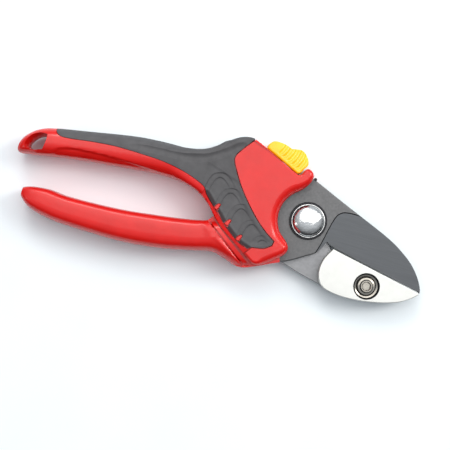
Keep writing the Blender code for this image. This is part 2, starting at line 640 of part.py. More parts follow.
def make_lock(make):
    """Slider on the head's track, and the bar inside that hooks behind the claw."""
    lift = Vector((-TRACK.y, TRACK.x)) * (GAP + 0.1)
    rear_foot = TRACK_END - TRACK * 19.6 + lift
    front_foot = TRACK_END - TRACK * 0.3 + lift
    outline = [tuple(rear_foot), tuple(front_foot), (-11.3, 22.6), (-9.9, 25.4), (-8.3, 26.7),
               (-9.3, 29.3), (-11.8, 32.7), (-13.9, 33.8), (-17.2, 33.5), (-18.9, 33.0),
               (-20.3, 34.0), (-24.9, 34.4), (-28.1, 34.3), (-29.8, 33.6), (-31.4, 30.9)]
    slider = make.plate("lock_slider", outline, MIDDLE - SLIDER_WIDTH / 2,
                        MIDDLE + SLIDER_WIDTH / 2, "yellow_nylon")
    soften_plate(slider, SLIDER_ROUNDING)
    left = LOCK_BAR_X - LOCK_BAR_WIDTH / 2
    right = LOCK_BAR_X + LOCK_BAR_WIDTH / 2
    top = LOCK_BAR_TOP
    pocket = [(left - GAP, 10.0), (right + GAP, 10.0), (right + GAP, top + GAP),
              (left - GAP, top + GAP)]
    make.cut(slider, make.plate("slider_pocket", pocket, LOCK_BACK - GAP, LOCK_FRONT + GAP))
    bar = [(right, -3.5), (right, top), (left, top), (left, -0.5), (left - 5.0, -0.5),
           (left - 5.0, -3.5)]
    make.plate("lock_bar", bar, LOCK_BACK, LOCK_FRONT, "plain_steel")


# The lower handle and the blade --------------------------------------------------------------

def make_lower_handle(make):
    """Bar of the lower handle, ending at its collar, joined to the head that holds the tang."""
    handle = make.loft("lower_handle", LOWER_SECTIONS, 0.0, "red_nylon")
    first, second = COLLAR
    along = (second - first).normalized()
    past = Vector((-along.y, along.x))
    bm = bmesh.new()
    bm.from_mesh(handle.data)
    result = bmesh.ops.bisect_plane(
        bm, geom=bm.verts[:] + bm.edges[:] + bm.faces[:], dist=1e-7,
        plane_co=(first.x * MM, first.y * MM, 0.0), plane_no=(past.x, past.y, 0.0),
        clear_outer=True)
    rim = [g for g in result["geom_cut"] if isinstance(g, bmesh.types.BMEdge)]
    bmesh.ops.contextual_create(bm, geom=rim)
    bmesh.ops.recalc_face_normals(bm, faces=bm.faces)
    bm.to_mesh(handle.data)
    bm.free()
    make.join(handle, make.plate("lower_head", lower_head_outline(), HEAD_BACK, HEAD_FRONT))
    make.cut(handle, make.plate("tang_slot", offset(blade_outline(), PLAY), BLADE_BACK - GAP,
                                BLADE_FRONT + GAP))
    for index, centre in enumerate(BLADE_PINS):
        make.bore(handle, BLADE_PIN_RADIUS + BORE_CLEARANCE, HEAD_BACK - 1.0, HEAD_FRONT + 1.0,
                  centre, f"pin_hole_{index + 1}")
    return handle


def make_blade(make):
    """Blade plate with a ground edge, pivot hole and pin holes."""
    blade = make.plate("blade", blade_outline(), BLADE_BACK, BLADE_FRONT, "coated_steel")
    make.bore(blade, PIVOT_SHAFT_RADIUS + BORE_CLEARANCE, BLADE_BACK - 1.0, BLADE_FRONT + 1.0,
              (0.0, 0.0), "blade_pivot_hole")
    for index, centre in enumerate(BLADE_PINS):
        make.bore(blade, BLADE_PIN_RADIUS + BORE_CLEARANCE, BLADE_BACK - 1.0, BLADE_FRONT + 1.0,
                  centre, f"blade_pin_hole_{index + 1}")
    for index, centre in enumerate(BLADE_PINS):
        radius = BLADE_PIN_RADIUS
        make.turned(f"blade_pin_{index + 1}", [
            (0.0, HEAD_FRONT - 0.2), (radius, HEAD_FRONT - 0.2), (radius, HEAD_BACK + 0.2),
            (0.0, HEAD_BACK + 0.2)], "plain_steel", centre, 20)
    return blade


def main():
    clear_scene()
    make = Maker()
    make_upper_handle(make)
    make_front_cover(make)
    make_grip(make)
    make_arm(make)
    make_anvil(make)
    make_fasteners(make)
    make_spring(make)
    make_lock(make)
    make_lower_handle(make)
    make_blade(make)


main()
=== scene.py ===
import math

import bmesh
import bpy
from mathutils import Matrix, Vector


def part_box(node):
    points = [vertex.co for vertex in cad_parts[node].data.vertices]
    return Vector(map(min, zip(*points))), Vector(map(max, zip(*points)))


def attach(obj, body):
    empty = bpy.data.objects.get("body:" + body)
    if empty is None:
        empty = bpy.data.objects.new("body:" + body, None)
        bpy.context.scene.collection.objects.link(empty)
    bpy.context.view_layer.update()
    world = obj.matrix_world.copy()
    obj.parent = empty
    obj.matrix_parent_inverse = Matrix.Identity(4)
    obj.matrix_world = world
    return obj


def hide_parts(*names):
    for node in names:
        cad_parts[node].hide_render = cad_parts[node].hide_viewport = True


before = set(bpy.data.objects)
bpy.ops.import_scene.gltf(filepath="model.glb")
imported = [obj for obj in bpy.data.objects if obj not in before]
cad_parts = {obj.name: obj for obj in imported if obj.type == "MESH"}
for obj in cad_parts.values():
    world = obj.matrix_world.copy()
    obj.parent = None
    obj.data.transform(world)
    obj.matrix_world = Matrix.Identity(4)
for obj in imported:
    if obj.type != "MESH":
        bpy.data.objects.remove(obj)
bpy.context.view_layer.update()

bl_info = {
    "name": "Pruning shears",
    "version": (1, 0, 0),
    "blender": (4, 5, 0),
    "location": "3D View > Sidebar > Shears",
    "description": "Builds anvil pruning shears piece by piece around their frame",
    "category": "Object",
}

MM = 0.001
RED, GREY, YELLOW = "moulded red nylon", "moulded grey rubber", "moulded yellow nylon"
COATED, GROUND, STAMPED = "coated steel", "ground coated steel", "stamped steel"
ALUMINIUM, STAINLESS, CHROME = "blasted aluminium", "turned stainless steel", "polished chrome plate"
BLACKENED_AND_PAINTED_SHADE, ZINC, WIRE = "blackened steel", "zinc-plated steel", "drawn spring wire"


def low(node, axis):
    """A CAD node's lowest coordinate along an axis, in millimetres."""
    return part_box(node)[0][axis] / MM


def high(node, axis):
    """A CAD node's highest coordinate along an axis, in millimetres."""
    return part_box(node)[1][axis] / MM


# Levels and sizes from the frame, in millimetres.
BODY_BACK, BODY_FRONT = low("upper_handle", 2), high("front_cover", 2)
MIDDLE = (BODY_BACK + BODY_FRONT) / 2
BLADE_BACK, BLADE_FRONT = low("blade", 2), high("blade", 2)
ARM_BACK, ARM_FRONT = low("anvil_arm", 2), high("anvil_arm", 2)
ANVIL_BACK, ANVIL_FRONT = low("anvil", 2), high("anvil", 2)
BOLT_RADIUS = high("pivot_bolt", 0)
WASHER_RADIUS = high("pivot_washer", 0)
SCREW_CENTRE = ((low("anvil_screw", 0) + high("anvil_screw", 0)) / 2,
                (low("anvil_screw", 1) + high("anvil_screw", 1)) / 2)
SCREW_FLANGE = (high("anvil_screw", 0) - low("anvil_screw", 0)) / 2

# The gaps between pieces, the slide's travel, the lock bar's width and height, a level over
# everything, the radii of the bores, and the levels of the lower handle's head and of the cover,
# in millimetres.
GAP = 0.3
PLAY = 0.5
LOCK_REACH = 5.0
BAR_WIDTH, BAR_HEIGHT = 5.0, 3.5
OVER = 30.0
PIVOT_BORE, ANVIL_BORE, SCREW_BORE, PIN_BORE = 4.3, 2.8, 1.9, 2.3
HEAD_BACK = BLADE_BACK - 1.8
HEAD_FRONT = BLADE_FRONT + 4.4
COVER_BACK = HEAD_FRONT + 0.6


# Outlines ------------------------------------------------------------------------------------

def arc(radius, start, end, steps, centre=(0.0, 0.0)):
    """Points along an arc, angles in degrees."""
    points = []
    for i in range(steps + 1):
        angle = math.radians(start + (end - start) * i / steps)
        points.append((centre[0] + radius * math.cos(angle), centre[1] + radius * math.sin(angle)))
    return points


def curved(points, closed=True, corner=55.0, step=0.9):
    """Smooth curves through points of any dimension; turns sharper than the corner stay sharp."""
    rows = [Vector(p) for p in points]
    count = len(rows)

    def tangents(i):
        before, after = rows[i] - rows[i - 1], rows[(i + 1) % count] - rows[i]
        if not closed and i == 0:
            return after.normalized(), after.normalized()
        if not closed and i == count - 1:
            return before.normalized(), before.normalized()
        a, b = before.normalized(), after.normalized()
        if a.to_2d().angle(b.to_2d(), 0.0) > math.radians(corner):
            return a, b
        mean = (before + after) / (before.length + after.length)
        return mean, mean

    ends = [tangents(i) for i in range(count)]
    result = []
    for i in range(count if closed else count - 1):
        j = (i + 1) % count
        span = rows[j] - rows[i]
        steps = max(1, round(span.to_2d().length / step))
        m0, m1 = ends[i][1] * span.length, ends[j][0] * span.length
        for k in range(steps):
            t = k / steps
            result.append(rows[i] * (2 * t ** 3 - 3 * t ** 2 + 1) + m0 * (t ** 3 - 2 * t ** 2 + t)
                          + rows[j] * (3 * t ** 2 - 2 * t ** 3) + m1 * (t ** 3 - t ** 2))
    if not closed:
        result.append(rows[-1])
    return result


def flat(points):
    """The points' plan."""
    return [Vector((p[0], p[1])) for p in points]


def offset(outline, distance):
    """The outline moved outward, or inward where negative; one distance, or one for each point."""
    points = flat(outline)
    area = sum(a.x * b.y - b.x * a.y for a, b in zip(points, points[1:] + points[:1]))
    sign = 1.0 if area > 0 else -1.0
    count = len(points)
    moves = [distance] * count if isinstance(distance, (int, float)) else distance
    result = []
    for i, here in enumerate(points):
        first = (here - points[i - 1]).normalized()
        second = (points[(i + 1) % count] - here).normalized()
        normal = Vector((first.y + second.y, -first.x - second.x)).normalized()
        spread = max(0.5, normal.dot(Vector((first.y, -first.x))))
        result.append(here + normal * (sign * moves[i] / spread))
    for _ in range(60):
        folded = set()
        for i in range(count):
            j = (i + 1) % count
            if (result[j] - result[i]).dot(points[j] - points[i]) <= 0.0:
                folded.update((i, j))
        if not folded:
            break
        for i in folded:
            result[i] = (result[i - 1] + result[(i + 1) % count]) / 2
    return result


TRACK_START = Vector((-38.4, 32.0))
TRACK_END = Vector((-12.8, 20.9))
TRACK = (TRACK_END - TRACK_START).normalized()
ACROSS = Vector((-TRACK.y, TRACK.x))
NOSE_FOOT = (-4.2, 22.1)
HEEL = math.hypot(*NOSE_FOOT)

# The head's outline: x, y and the width of the rounded rim there.
HEAD = (
    [(-12.8, 20.9, 0.8), (-10.8, 21.4, 0.9), (-9.6, 24.0, 1.2), (-8.4, 25.2, 1.6),
     (-6.6, 25.1, 1.8), (-5.0, 23.9, 2.0), (-4.2, 22.0, 2.2), (-5.0, 18.6, 2.8), (-7.6, 14.7, 3.8)]
    + [(x, y, 4.4) for x, y in arc(16.0, 135, 218, 9)]
    + [(-8.4, -13.4, 3.6), (-6.6, -15.6, 3.0), (-6.2, -18.0, 3.0), (-7.6, -20.8, 3.4),
       (-11.1, -24.1, 3.8), (-15.8, -27.8, 3.6), (-18.2, -29.2, 2.6), (-20.0, -29.5, 2.0),
       (-22.6, -28.9, 1.6), (-30.3, -23.7, 1.4), (-36.8, -19.7, 1.4), (-42.5, -16.0, 1.4),
       (-47.1, -12.0, 1.6), (-49.2, -9.8, 2.0), (-52.8, -5.6, 2.4), (-56.2, -0.6, 2.4),
       (-58.4, 5.0, 2.4), (-58.4, 13.0, 2.4), (-56.4, 19.4, 2.4), (-52.8, 25.4, 2.6),
       (-48.4, 29.4, 2.4), (-43.5, 31.8, 2.0), (-38.4, 32.0, 1.2)]
)
PANEL_EDGE = [(-38.6, 31.4), (-45.0, 22.2), (-45.6, 18.7), (-42.6, 13.1), (-38.2, 6.5),
              (-32.0, -0.8), (-25.4, -7.4), (-19.4, -12.1), (-14.2, -15.3), (-14.6, -17.8),
              (-18.2, -20.3), (-24.4, -21.7)]
GRIP_EDGE = [(-137.9, 9.5), (-137.0, 5.7), (-133.3, 4.1), (-116.6, 6.3), (-105.2, 7.4),
             (-91.2, 7.5), (-81.3, 7.2), (-72.3, 6.0), (-63.8, 3.9), (-56.5, 0.8)]
BAND_EDGE = [(-54.6, -2.2), (-46.8, -9.4), (-38.6, -16.6), (-30.8, -21.6), (-26.0, -23.2)]

# Sections along a bar: x, thumb side, finger side, thickness as a share of the body's. A section is
# a rounded rectangle, squarer the higher its squareness; the upper bar's root starts at ROOT_START.
ROUND, ROOT_SQUARE, FIRM = 2.8, 7.0, 4.6
ROOT_START, ROOT_LENGTH = -78.0, 18.0
UPPER_SECTIONS = [
    (-154.5, -5.2, -8.6, 0.40), (-153.6, -2.0, -9.6, 0.66), (-151.4, 1.0, -9.7, 0.82),
    (-148.0, 4.0, -9.0, 0.92), (-143.7, 6.3, -8.3, 0.97), (-137.7, 8.0, -7.0, 1.0),
    (-120.8, 11.4, -4.2, 1.0), (-106.5, 14.3, -2.4, 1.0), (-94.1, 16.4, -0.8, 1.0),
    (-81.1, 17.5, 0.5, 1.0), (-70.6, 17.9, 0.5, 1.0), (-62.1, 19.9, -1.2, 1.0),
    (-56.5, 23.3, -3.8, 0.99), (-52.5, 27.0, -6.8, 0.98), (-47.0, 29.9, -11.2, 0.97),
]
LOWER_SECTIONS = [
    (-146.6, -26.9, -29.2, 0.52), (-145.6, -26.1, -31.4, 0.72), (-143.0, -25.0, -33.9, 0.86),
    (-139.5, -24.2, -35.9, 0.92), (-132.9, -23.5, -37.6, 0.98), (-123.1, -24.1, -38.7, 1.0),
    (-103.0, -23.2, -38.9, 1.0), (-91.1, -22.1, -38.6, 1.0), (-77.6, -20.2, -37.3, 1.0),
    (-65.0, -18.2, -35.1, 1.0), (-52.7, -15.6, -32.2, 1.0), (-43.6, -12.0, -29.9, 1.0),
    (-36.6, -11.0, -31.2, 1.0), (-30.0, -12.0, -33.3, 0.98), (-25.0, -14.0, -33.0, 0.94),
    (-21.5, -16.0, -32.0, 0.90),
]
COLLAR = (Vector((-48.4, -12.6)), Vector((-23.6, -30.2)))

BLADE = (
    [(9.5, -13.9), (12.7, -7.3), (15.4, -9.2), (16.6, -9.6), (65.1, -18.7), (66.4, -19.3),
     (66.1, -17.2), (63.6, -12.6), (60.3, -8.4), (56.6, -4.9), (52.4, -1.9), (46.8, 1.5),
     (40.8, 4.3), (32.5, 7.6), (24.9, 10.5), (11.3, 15.8)]
    + arc(HEEL, 101, 197, 12)
    + [(-36.0, -8.4), (-37.0, -17.0), (-34.0, -21.5), (-14.0, -24.5), (-6.7, -24.1), (5.3, -17.1)]
)
GROUND_EDGE = [(8.9, -14.4), (10.4, -8.6), (11.6, -2.0), (12.9, 4.0), (14.2, 7.2), (16.2, 9.0),
               (18.6, 9.7), (22.0, 10.0), (32.0, 10.0)]
ANVIL = [(16.7, -10.1), (13.7, -15.9), (12.7, -20.6), (13.1, -24.8), (15.2, -29.1),
         (19.5, -31.5), (30.1, -32.4), (43.2, -30.8), (55.7, -27.2), (62.6, -23.0),
         (65.9, -19.9), (65.1, -19.1)]
ARM = ([(-6.5, -24.6), (4.2, -27.5), (14.0, -29.6), (19.0, -31.2), (30.1, -31.9), (43.0, -30.3),
        (55.3, -26.8), (61.6, -22.8), (62.0, -19.6), (17.5, -11.4), (14.2, -8.2), (15.2, -2.0)]
       + arc(14.6, 12, 88, 6)
       + [(-9.0, 16.8), (-24.0, 23.4), (-34.5, 28.2), (-40.0, 27.6), (-41.5, 21.0), (-39.0, 8.0),
          (-30.0, -2.0), (-18.5, -9.0), (-18.0, -17.0), (-14.0, -23.2)])
LOWER_HEAD = (
    [(-8.1, -24.7), (-9.8, -19.5)] + arc(17.2, 234, 195.2, 5)
    + [(-34.5, -4.5), (-34.5, 2.0), (-28.0, 2.0), (-28.0, 6.0), (-40.5, 6.0), (-41.5, -4.0),
       (-46.0, -10.0), (-50.6, -15.6), (-60.0, -20.0), (-60.0, -31.5), (-44.0, -28.2),
       (-33.0, -31.6), (-28.5, -33.1), (-24.3, -32.5), (-18.0, -29.7), (-12.4, -26.7)]
)
COVER_SCREW = (-33.5, 15.0)
BODY_SCREW = (-37.8, 25.2)
ARM_RIVET = (-11.2, -19.0)
BLADE_PINS = ((-20.0, -15.5), (-31.0, -14.5))
LUG = Vector((-2.6, 21.6))
LOOP = [(-149.4, -4.6), (-148.4, -2.4), (-146.6, 0.0), (-144.4, 1.6), (-141.4, 2.6),
        (-141.2, 0.1), (-141.8, -4.4), (-144.6, -5.6), (-147.6, -6.2), (-149.0, -5.7)]
LOOP_MOUTH = [(-152.0, -4.4), (-150.9, -1.0), (-148.6, 1.9), (-145.2, 3.7), (-140.9, 3.5),
              (-140.7, 0.3), (-141.3, -4.9), (-144.5, -6.1), (-147.8, -6.8), (-150.6, -6.5)]
# The border of the shallow pocket along the upper handle's finger side.
POCKET = [(-138.4, -9.5), (-137.4, -6.8), (-135.6, -4.5), (-134.0, -2.4), (-131.2, -0.9),
          (-121.9, 0.8), (-102.7, 1.9), (-79.6, 1.2), (-66.0, -1.4), (-58.0, -4.6)]
TABS = ((-47.1, -6.3), (-39.6, -12.5), (-31.9, -18.4))


def grip_region():
    """Plan of what the grip covers; it runs past the thumb side."""
    edge = curved(GRIP_EDGE + BAND_EDGE, closed=False, corner=70.0)
    panel = curved(PANEL_EDGE, closed=False, corner=40.0)
    past_top = [(-36.0, 35.2), (-36.0, 45.0), (-60.0, 45.0), (-138.5, 26.0)]
    return flat(edge) + flat(panel)[::-1] + flat(past_top)


def panel_region():
    """Plan of the front panel; it runs past the head's right edge."""
    edge = curved(PANEL_EDGE, closed=False, corner=40.0)
    around = [(-26.0, -24.0), (-34.0, -34.0), (10.0, -34.0), (10.0, 45.0), (-36.0, 45.0),
              (-36.0, 35.2)]
    return flat(edge) + flat(around)


def cavity_region():
    """Plan of the space for the heel, the lower head and the lock bar."""
    under = ACROSS * -3.0
    front, rear = TRACK_END + under - TRACK * 1.2, TRACK_START + under + TRACK * 7.6
    nose = arc(HEEL + PLAY + 0.1, 50, 122, 18)
    behind = [(-35.0, 21.5), (-42.5, 17.0), (-42.5, 4.0), (-46.0, -5.0), (-53.0, -9.0),
              (-70.0, -25.0), (-70.0, -60.0)]
    return flat([(40.0, -60.0), (40.0, 10.0)] + nose + [front, rear] + behind)


# Mesh helpers --------------------------------------------------------------------------------

def smoothstep(t):
    """0 below 0, 1 above 1, smooth between."""
    t = min(1.0, max(0.0, t))
    return t * t * (3 - 2 * t)


def place(name, bm):
    """A new object from a bmesh, linked to the scene, with its faces outward."""
    bmesh.ops.recalc_face_normals(bm, faces=bm.faces)
    mesh = bpy.data.meshes.new(name)
    bm.to_mesh(mesh)
    bm.free()
    obj = bpy.data.objects.new(name, mesh)
    bpy.context.scene.collection.objects.link(obj)
    return obj


def stacked(name, rings):
    """A solid skinned over rings of equal count, with a cap at each end."""
    bm = bmesh.new()
    verts = [bm.verts.new(Vector(p) * MM) for p in rings[0]]
    edges = [bm.edges.new(pair) for pair in zip(verts, verts[1:] + verts[:1])]
    bmesh.ops.contextual_create(bm, geom=edges)
    for ring in rings[1:]:
        made = bmesh.ops.extrude_edge_only(bm, edges=edges)["geom"]
        fresh = {item for item in made if isinstance(item, bmesh.types.BMVert)}
        edges = [item for item in made if isinstance(item, bmesh.types.BMEdge)
                 and item.verts[0] in fresh and item.verts[1] in fresh]
        moved = []
        for vert, point in zip(verts, ring):
            pulled = next(e.other_vert(vert) for e in vert.link_edges if e.other_vert(vert) in fresh)
            pulled.co = Vector(point) * MM
            moved.append(pulled)
        verts = moved
    bmesh.ops.contextual_create(bm, geom=edges)
    return place(name, bm)


def plate(name, outline, back, front, back_rim=0.0, front_rim=0.0, steps=5, power=2.0):
    """A plate with rounded rims: each rim is one width, or one for each point of the outline."""
    count = len(outline)

    def widths(rim):
        return [rim] * count if isinstance(rim, (int, float)) else list(rim)

    rings = []
    for level, rim, way in ((back, widths(back_rim), 1.0), (front, widths(front_rim), -1.0)):
        if max(rim) == 0.0:
            rings.append([(p[0], p[1], level) for p in outline])
            continue
        turn = []
        for k in range(steps + 1):
            angle = math.radians(90 - 90 * k / steps)
            out = max(0.0, math.cos(angle)) ** (2 / power)
            up = max(0.0, math.sin(angle)) ** (2 / power)
            ring = offset(outline, [-w * (1 - out) for w in rim])
            turn.append([(p.x, p.y, level + way * w * (1 - up)) for p, w in zip(ring, rim)])
        rings += turn if way > 0 else turn[::-1]
    return stacked(name, rings)


def bar(name, sections, inset=0.0, sides=72, step=1.3, root=ROUND, dent=None, firm=ROUND):
    """A handle's bar: rounded sections along X, squarer at its root and on its thumb side."""
    rings = []
    last = sections[-1][0]
    for row in curved(sections, closed=False, corner=180.0, step=step):
        x, thumb, finger, share = row
        half_width = max(0.4, (thumb - finger) / 2 - inset)
        half_depth = max(0.8, MIDDLE * share - inset)
        near = smoothstep((x - ROOT_START) / ROOT_LENGTH)
        corner = 2.0 / (ROUND + (root - ROUND) * near)
        if x < sections[0][0] + inset:
            continue
        ring = []
        for i in range(sides):
            angle = 2 * math.pi * (i + 0.5) / sides
            c, s = math.cos(angle), math.sin(angle)
            power = min(corner, 2.0 / firm) if c > 0 else corner
            y = (thumb + finger) / 2 + half_width * math.copysign(abs(c) ** power, c)
            rise = half_depth * math.copysign(abs(s) ** power, s)
            if dent and x < last:
                rise -= math.copysign(dent(x, y), s) * min(1.0, abs(rise) / 3.0)
            ring.append((x, y, MIDDLE + rise))
        rings.append(ring)
    return stacked(name, rings)


def turned(name, profile, centre=(0.0, 0.0), steps=64):
    """A turned solid from a profile of radius and height, run down its outer side."""
    bm = bmesh.new()
    verts = [bm.verts.new((r * MM, 0.0, z * MM)) for r, z in profile]
    closed = profile[0][0] > 0.0
    edges = [bm.edges.new(pair) for pair in zip(verts, verts[1:] + (verts[:1] if closed else []))]
    bmesh.ops.spin(bm, geom=verts + edges, cent=(0.0, 0.0, 0.0), axis=(0.0, 0.0, 1.0),
                   dvec=(0.0, 0.0, 0.0), angle=2 * math.pi, steps=steps, use_merge=True)
    bmesh.ops.remove_doubles(bm, verts=bm.verts, dist=1e-7)
    bmesh.ops.translate(bm, verts=bm.verts, vec=(centre[0] * MM, centre[1] * MM, 0.0))
    return place(name, bm)


def cylinder(name, radius, back, front, centre, sides=48):
    """A round or many-sided cutter along Z."""
    bm = bmesh.new()
    bmesh.ops.create_cone(bm, cap_ends=True, segments=sides, radius1=radius * MM,
                          radius2=radius * MM, depth=(front - back) * MM)
    bmesh.ops.translate(bm, verts=bm.verts,
                        vec=(centre[0] * MM, centre[1] * MM, (back + front) / 2 * MM))
    return place(name, bm)


def above(name, corner, size, spacing, height, behind=False):
    """A cutter of all that is above a surface drawn over a rectangle, or behind its mirror."""
    bm = bmesh.new()
    counts = [max(2, round(s / spacing)) for s in size]
    bmesh.ops.create_grid(bm, x_segments=counts[0], y_segments=counts[1], size=0.5)
    for vert in bm.verts:
        x, y = corner[0] + (vert.co.x + 0.5) * size[0], corner[1] + (vert.co.y + 0.5) * size[1]
        vert.co = Vector((x, y, height(x, y))) * MM
    made = bmesh.ops.extrude_face_region(bm, geom=bm.faces[:])["geom"]
    for item in made:
        if isinstance(item, bmesh.types.BMVert):
            item.co.z = OVER * MM
    if behind:
        for vert in bm.verts:
            vert.co.z = 2 * MIDDLE * MM - vert.co.z
    return place(name, bm)


CUT, JOIN, KEEP = "DIFFERENCE", "UNION", "INTERSECT"
ATTEMPTS = 9


def measure(mesh):
    """A mesh's volume in cubic millimetres, and the number of its edges that aren't closed."""
    bm = bmesh.new()
    bm.from_mesh(mesh)
    result = bm.calc_volume(signed=True) / MM ** 3, sum(len(e.link_faces) != 2 for e in bm.edges)
    bm.free()
    return result


def combine(obj, *steps):
    """Cut, join or keep the common part with other solids, in order, and use them up.

    A cut whose result has an impossible volume or an open edge is made again with the other solid
    moved by a micrometre or so, because the solver can fail where surfaces nearly coincide.
    """
    for operation, other in steps:
        own, theirs = measure(obj.data)[0], measure(other.data)[0]
        least, most = {CUT: (own - theirs, own), JOIN: (max(own, theirs), own + theirs),
                       KEEP: (0.0, min(own, theirs))}[operation]
        slack = 0.001 * own + 0.5
        modifier = obj.modifiers.new(operation, "BOOLEAN")
        modifier.operation = operation
        modifier.object = other
        modifier.solver = "EXACT"
        best = None
        for attempt in range(ATTEMPTS):
            nudge = Vector((0.0011, -0.0017, 0.0013)) * attempt * (-1) ** attempt
            other.location = nudge * MM
            view = bpy.context.evaluated_depsgraph_get()
            mesh = bpy.data.meshes.new_from_object(obj.evaluated_get(view))
            volume, gaps = measure(mesh)
            if mesh.polygons and volume > 1.0 and least - slack < volume < most + slack:
                if best is None or gaps < best[0]:
                    best = (gaps, mesh)
                if gaps == 0:
                    break
        obj.modifiers.clear()
        if best is None:
            raise RuntimeError(obj.name + " could not be combined with " + other.name)
        obj.data = best[1]
        bpy.data.objects.remove(other, do_unlink=True)
    return obj


def finished(obj, name, finish, body, slot, *nodes, angle=32.0):
    """Name a piece, shade it, give it its finish and say what it rides on and stands for."""
    obj.name = name
    obj.data.name = name
    bm = bmesh.new()
    bm.from_mesh(obj.data)
    bmesh.ops.remove_doubles(bm, verts=bm.verts, dist=2e-6)
    bmesh.ops.dissolve_degenerate(bm, edges=bm.edges, dist=2e-6)
    bm.to_mesh(obj.data)
    bm.free()
    obj.data.shade_smooth()
    obj.data.set_sharp_from_angle(angle=math.radians(angle))
    normals = obj.modifiers.new("even_normals", "WEIGHTED_NORMAL")
    normals.keep_sharp = True
    obj.data.materials.clear()
    obj.data.materials.append(bpy.data.materials[finish])
    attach(obj, body)
    if nodes:
        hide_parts(*nodes)
    return obj


def dress(obj, finishes, choose):
    """Give a piece further finishes; choose numbers a face's from its centre and normal."""
    for finish in finishes:
        obj.data.materials.append(bpy.data.materials[finish])
    for face in obj.data.polygons:
        face.material_index = choose(face.center / MM, face.normal)


# Finishes ------------------------------------------------------------------------------------

def linear(code):
    """A linear colour from sRGB hex."""
    channels = []
    for i in (0, 2, 4):
        value = int(code[i:i + 2], 16) / 255
        channels.append(value / 12.92 if value <= 0.04045 else ((value + 0.055) / 1.055) ** 2.4)
    return (*channels, 1.0)


def add_node(tree, kind, settings=None, links=None):
    """Add a node, set its inputs or properties, and feed inputs from other nodes' outputs."""
    made = tree.nodes.new(kind)
    for key, value in (settings or {}).items():
        if isinstance(key, int) or key in made.inputs:
            made.inputs[key].default_value = value
        else:
            setattr(made, key, value)
    for key, source in (links or {}).items():
        tree.links.new(source, made.inputs[key])
    return made


def colour_swing(tree, shader, where, size, first, second, detail=3.0):
    """Let the colour wander between two over patches of a size in millimetres."""
    noise = add_node(tree, "ShaderNodeTexNoise", {"Scale": 1 / (size * MM), "Detail": detail},
                     {"Vector": where})
    ramp = add_node(tree, "ShaderNodeValToRGB", links={"Fac": noise.outputs["Fac"]})
    ramp.color_ramp.elements[0].position = 0.32
    ramp.color_ramp.elements[1].position = 0.68
    ramp.color_ramp.elements[0].color = first
    ramp.color_ramp.elements[1].color = second
    tree.links.new(ramp.outputs["Color"], shader.inputs["Base Color"])


def gloss_swing(tree, shader, where, size, lowest, highest, detail=4.0):
    """Let the roughness wander between two values over patches of a size in millimetres."""
    noise = add_node(tree, "ShaderNodeTexNoise", {"Scale": 1 / (size * MM), "Detail": detail},
                     {"Vector": where})
    spread = add_node(tree, "ShaderNodeMapRange",
                      {"From Min": 0.3, "From Max": 0.7, "To Min": lowest, "To Max": highest},
                      {"Value": noise.outputs["Fac"]})
    tree.links.new(spread.outputs["Result"], shader.inputs["Roughness"])


def grain(tree, shader, where, size, depth, detail=2.0):
    """Raise a grain of a size and depth in millimetres."""
    noise = add_node(tree, "ShaderNodeTexNoise", {"Scale": 1 / (size * MM), "Detail": detail},
                     {"Vector": where})
    bump = add_node(tree, "ShaderNodeBump", {"Strength": 1.0, "Distance": depth * MM},
                    {"Height": noise.outputs["Fac"]})
    tree.links.new(bump.outputs["Normal"], shader.inputs["Normal"])


def tones(colour, darkest, lightest):
    """Two tones of a colour, each a share of it."""
    return [tuple(min(1.0, c * share) for c in colour[:3]) + (1.0,)
            for share in (darkest, lightest)]


def add_finish(name, colours, gloss=None, tooth=None, along=None, **settings):
    """A finish in Object coordinates: values for colour_swing, gloss_swing and grain, in that order.

    Along is an angle and a factor that draw its marks out in plan. Settings go to the shader.
    """
    made = bpy.data.materials.new(name)
    made.use_nodes = True
    tree = made.node_tree
    shader = tree.nodes["Principled BSDF"]
    for key, value in settings.items():
        shader.inputs[key.replace("_", " ")].default_value = value
    where = add_node(tree, "ShaderNodeTexCoord").outputs["Object"]
    if along:
        angle, factor = along
        where = add_node(tree, "ShaderNodeMapping",
                         {"Rotation": (0.0, 0.0, -angle), "Scale": (1 / factor, 1.0, 1.0)},
                         {"Vector": where}).outputs["Vector"]
    colour_swing(tree, shader, where, *colours)
    if gloss:
        gloss_swing(tree, shader, where, *gloss)
    if tooth:
        grain(tree, shader, where, *tooth)
    return made


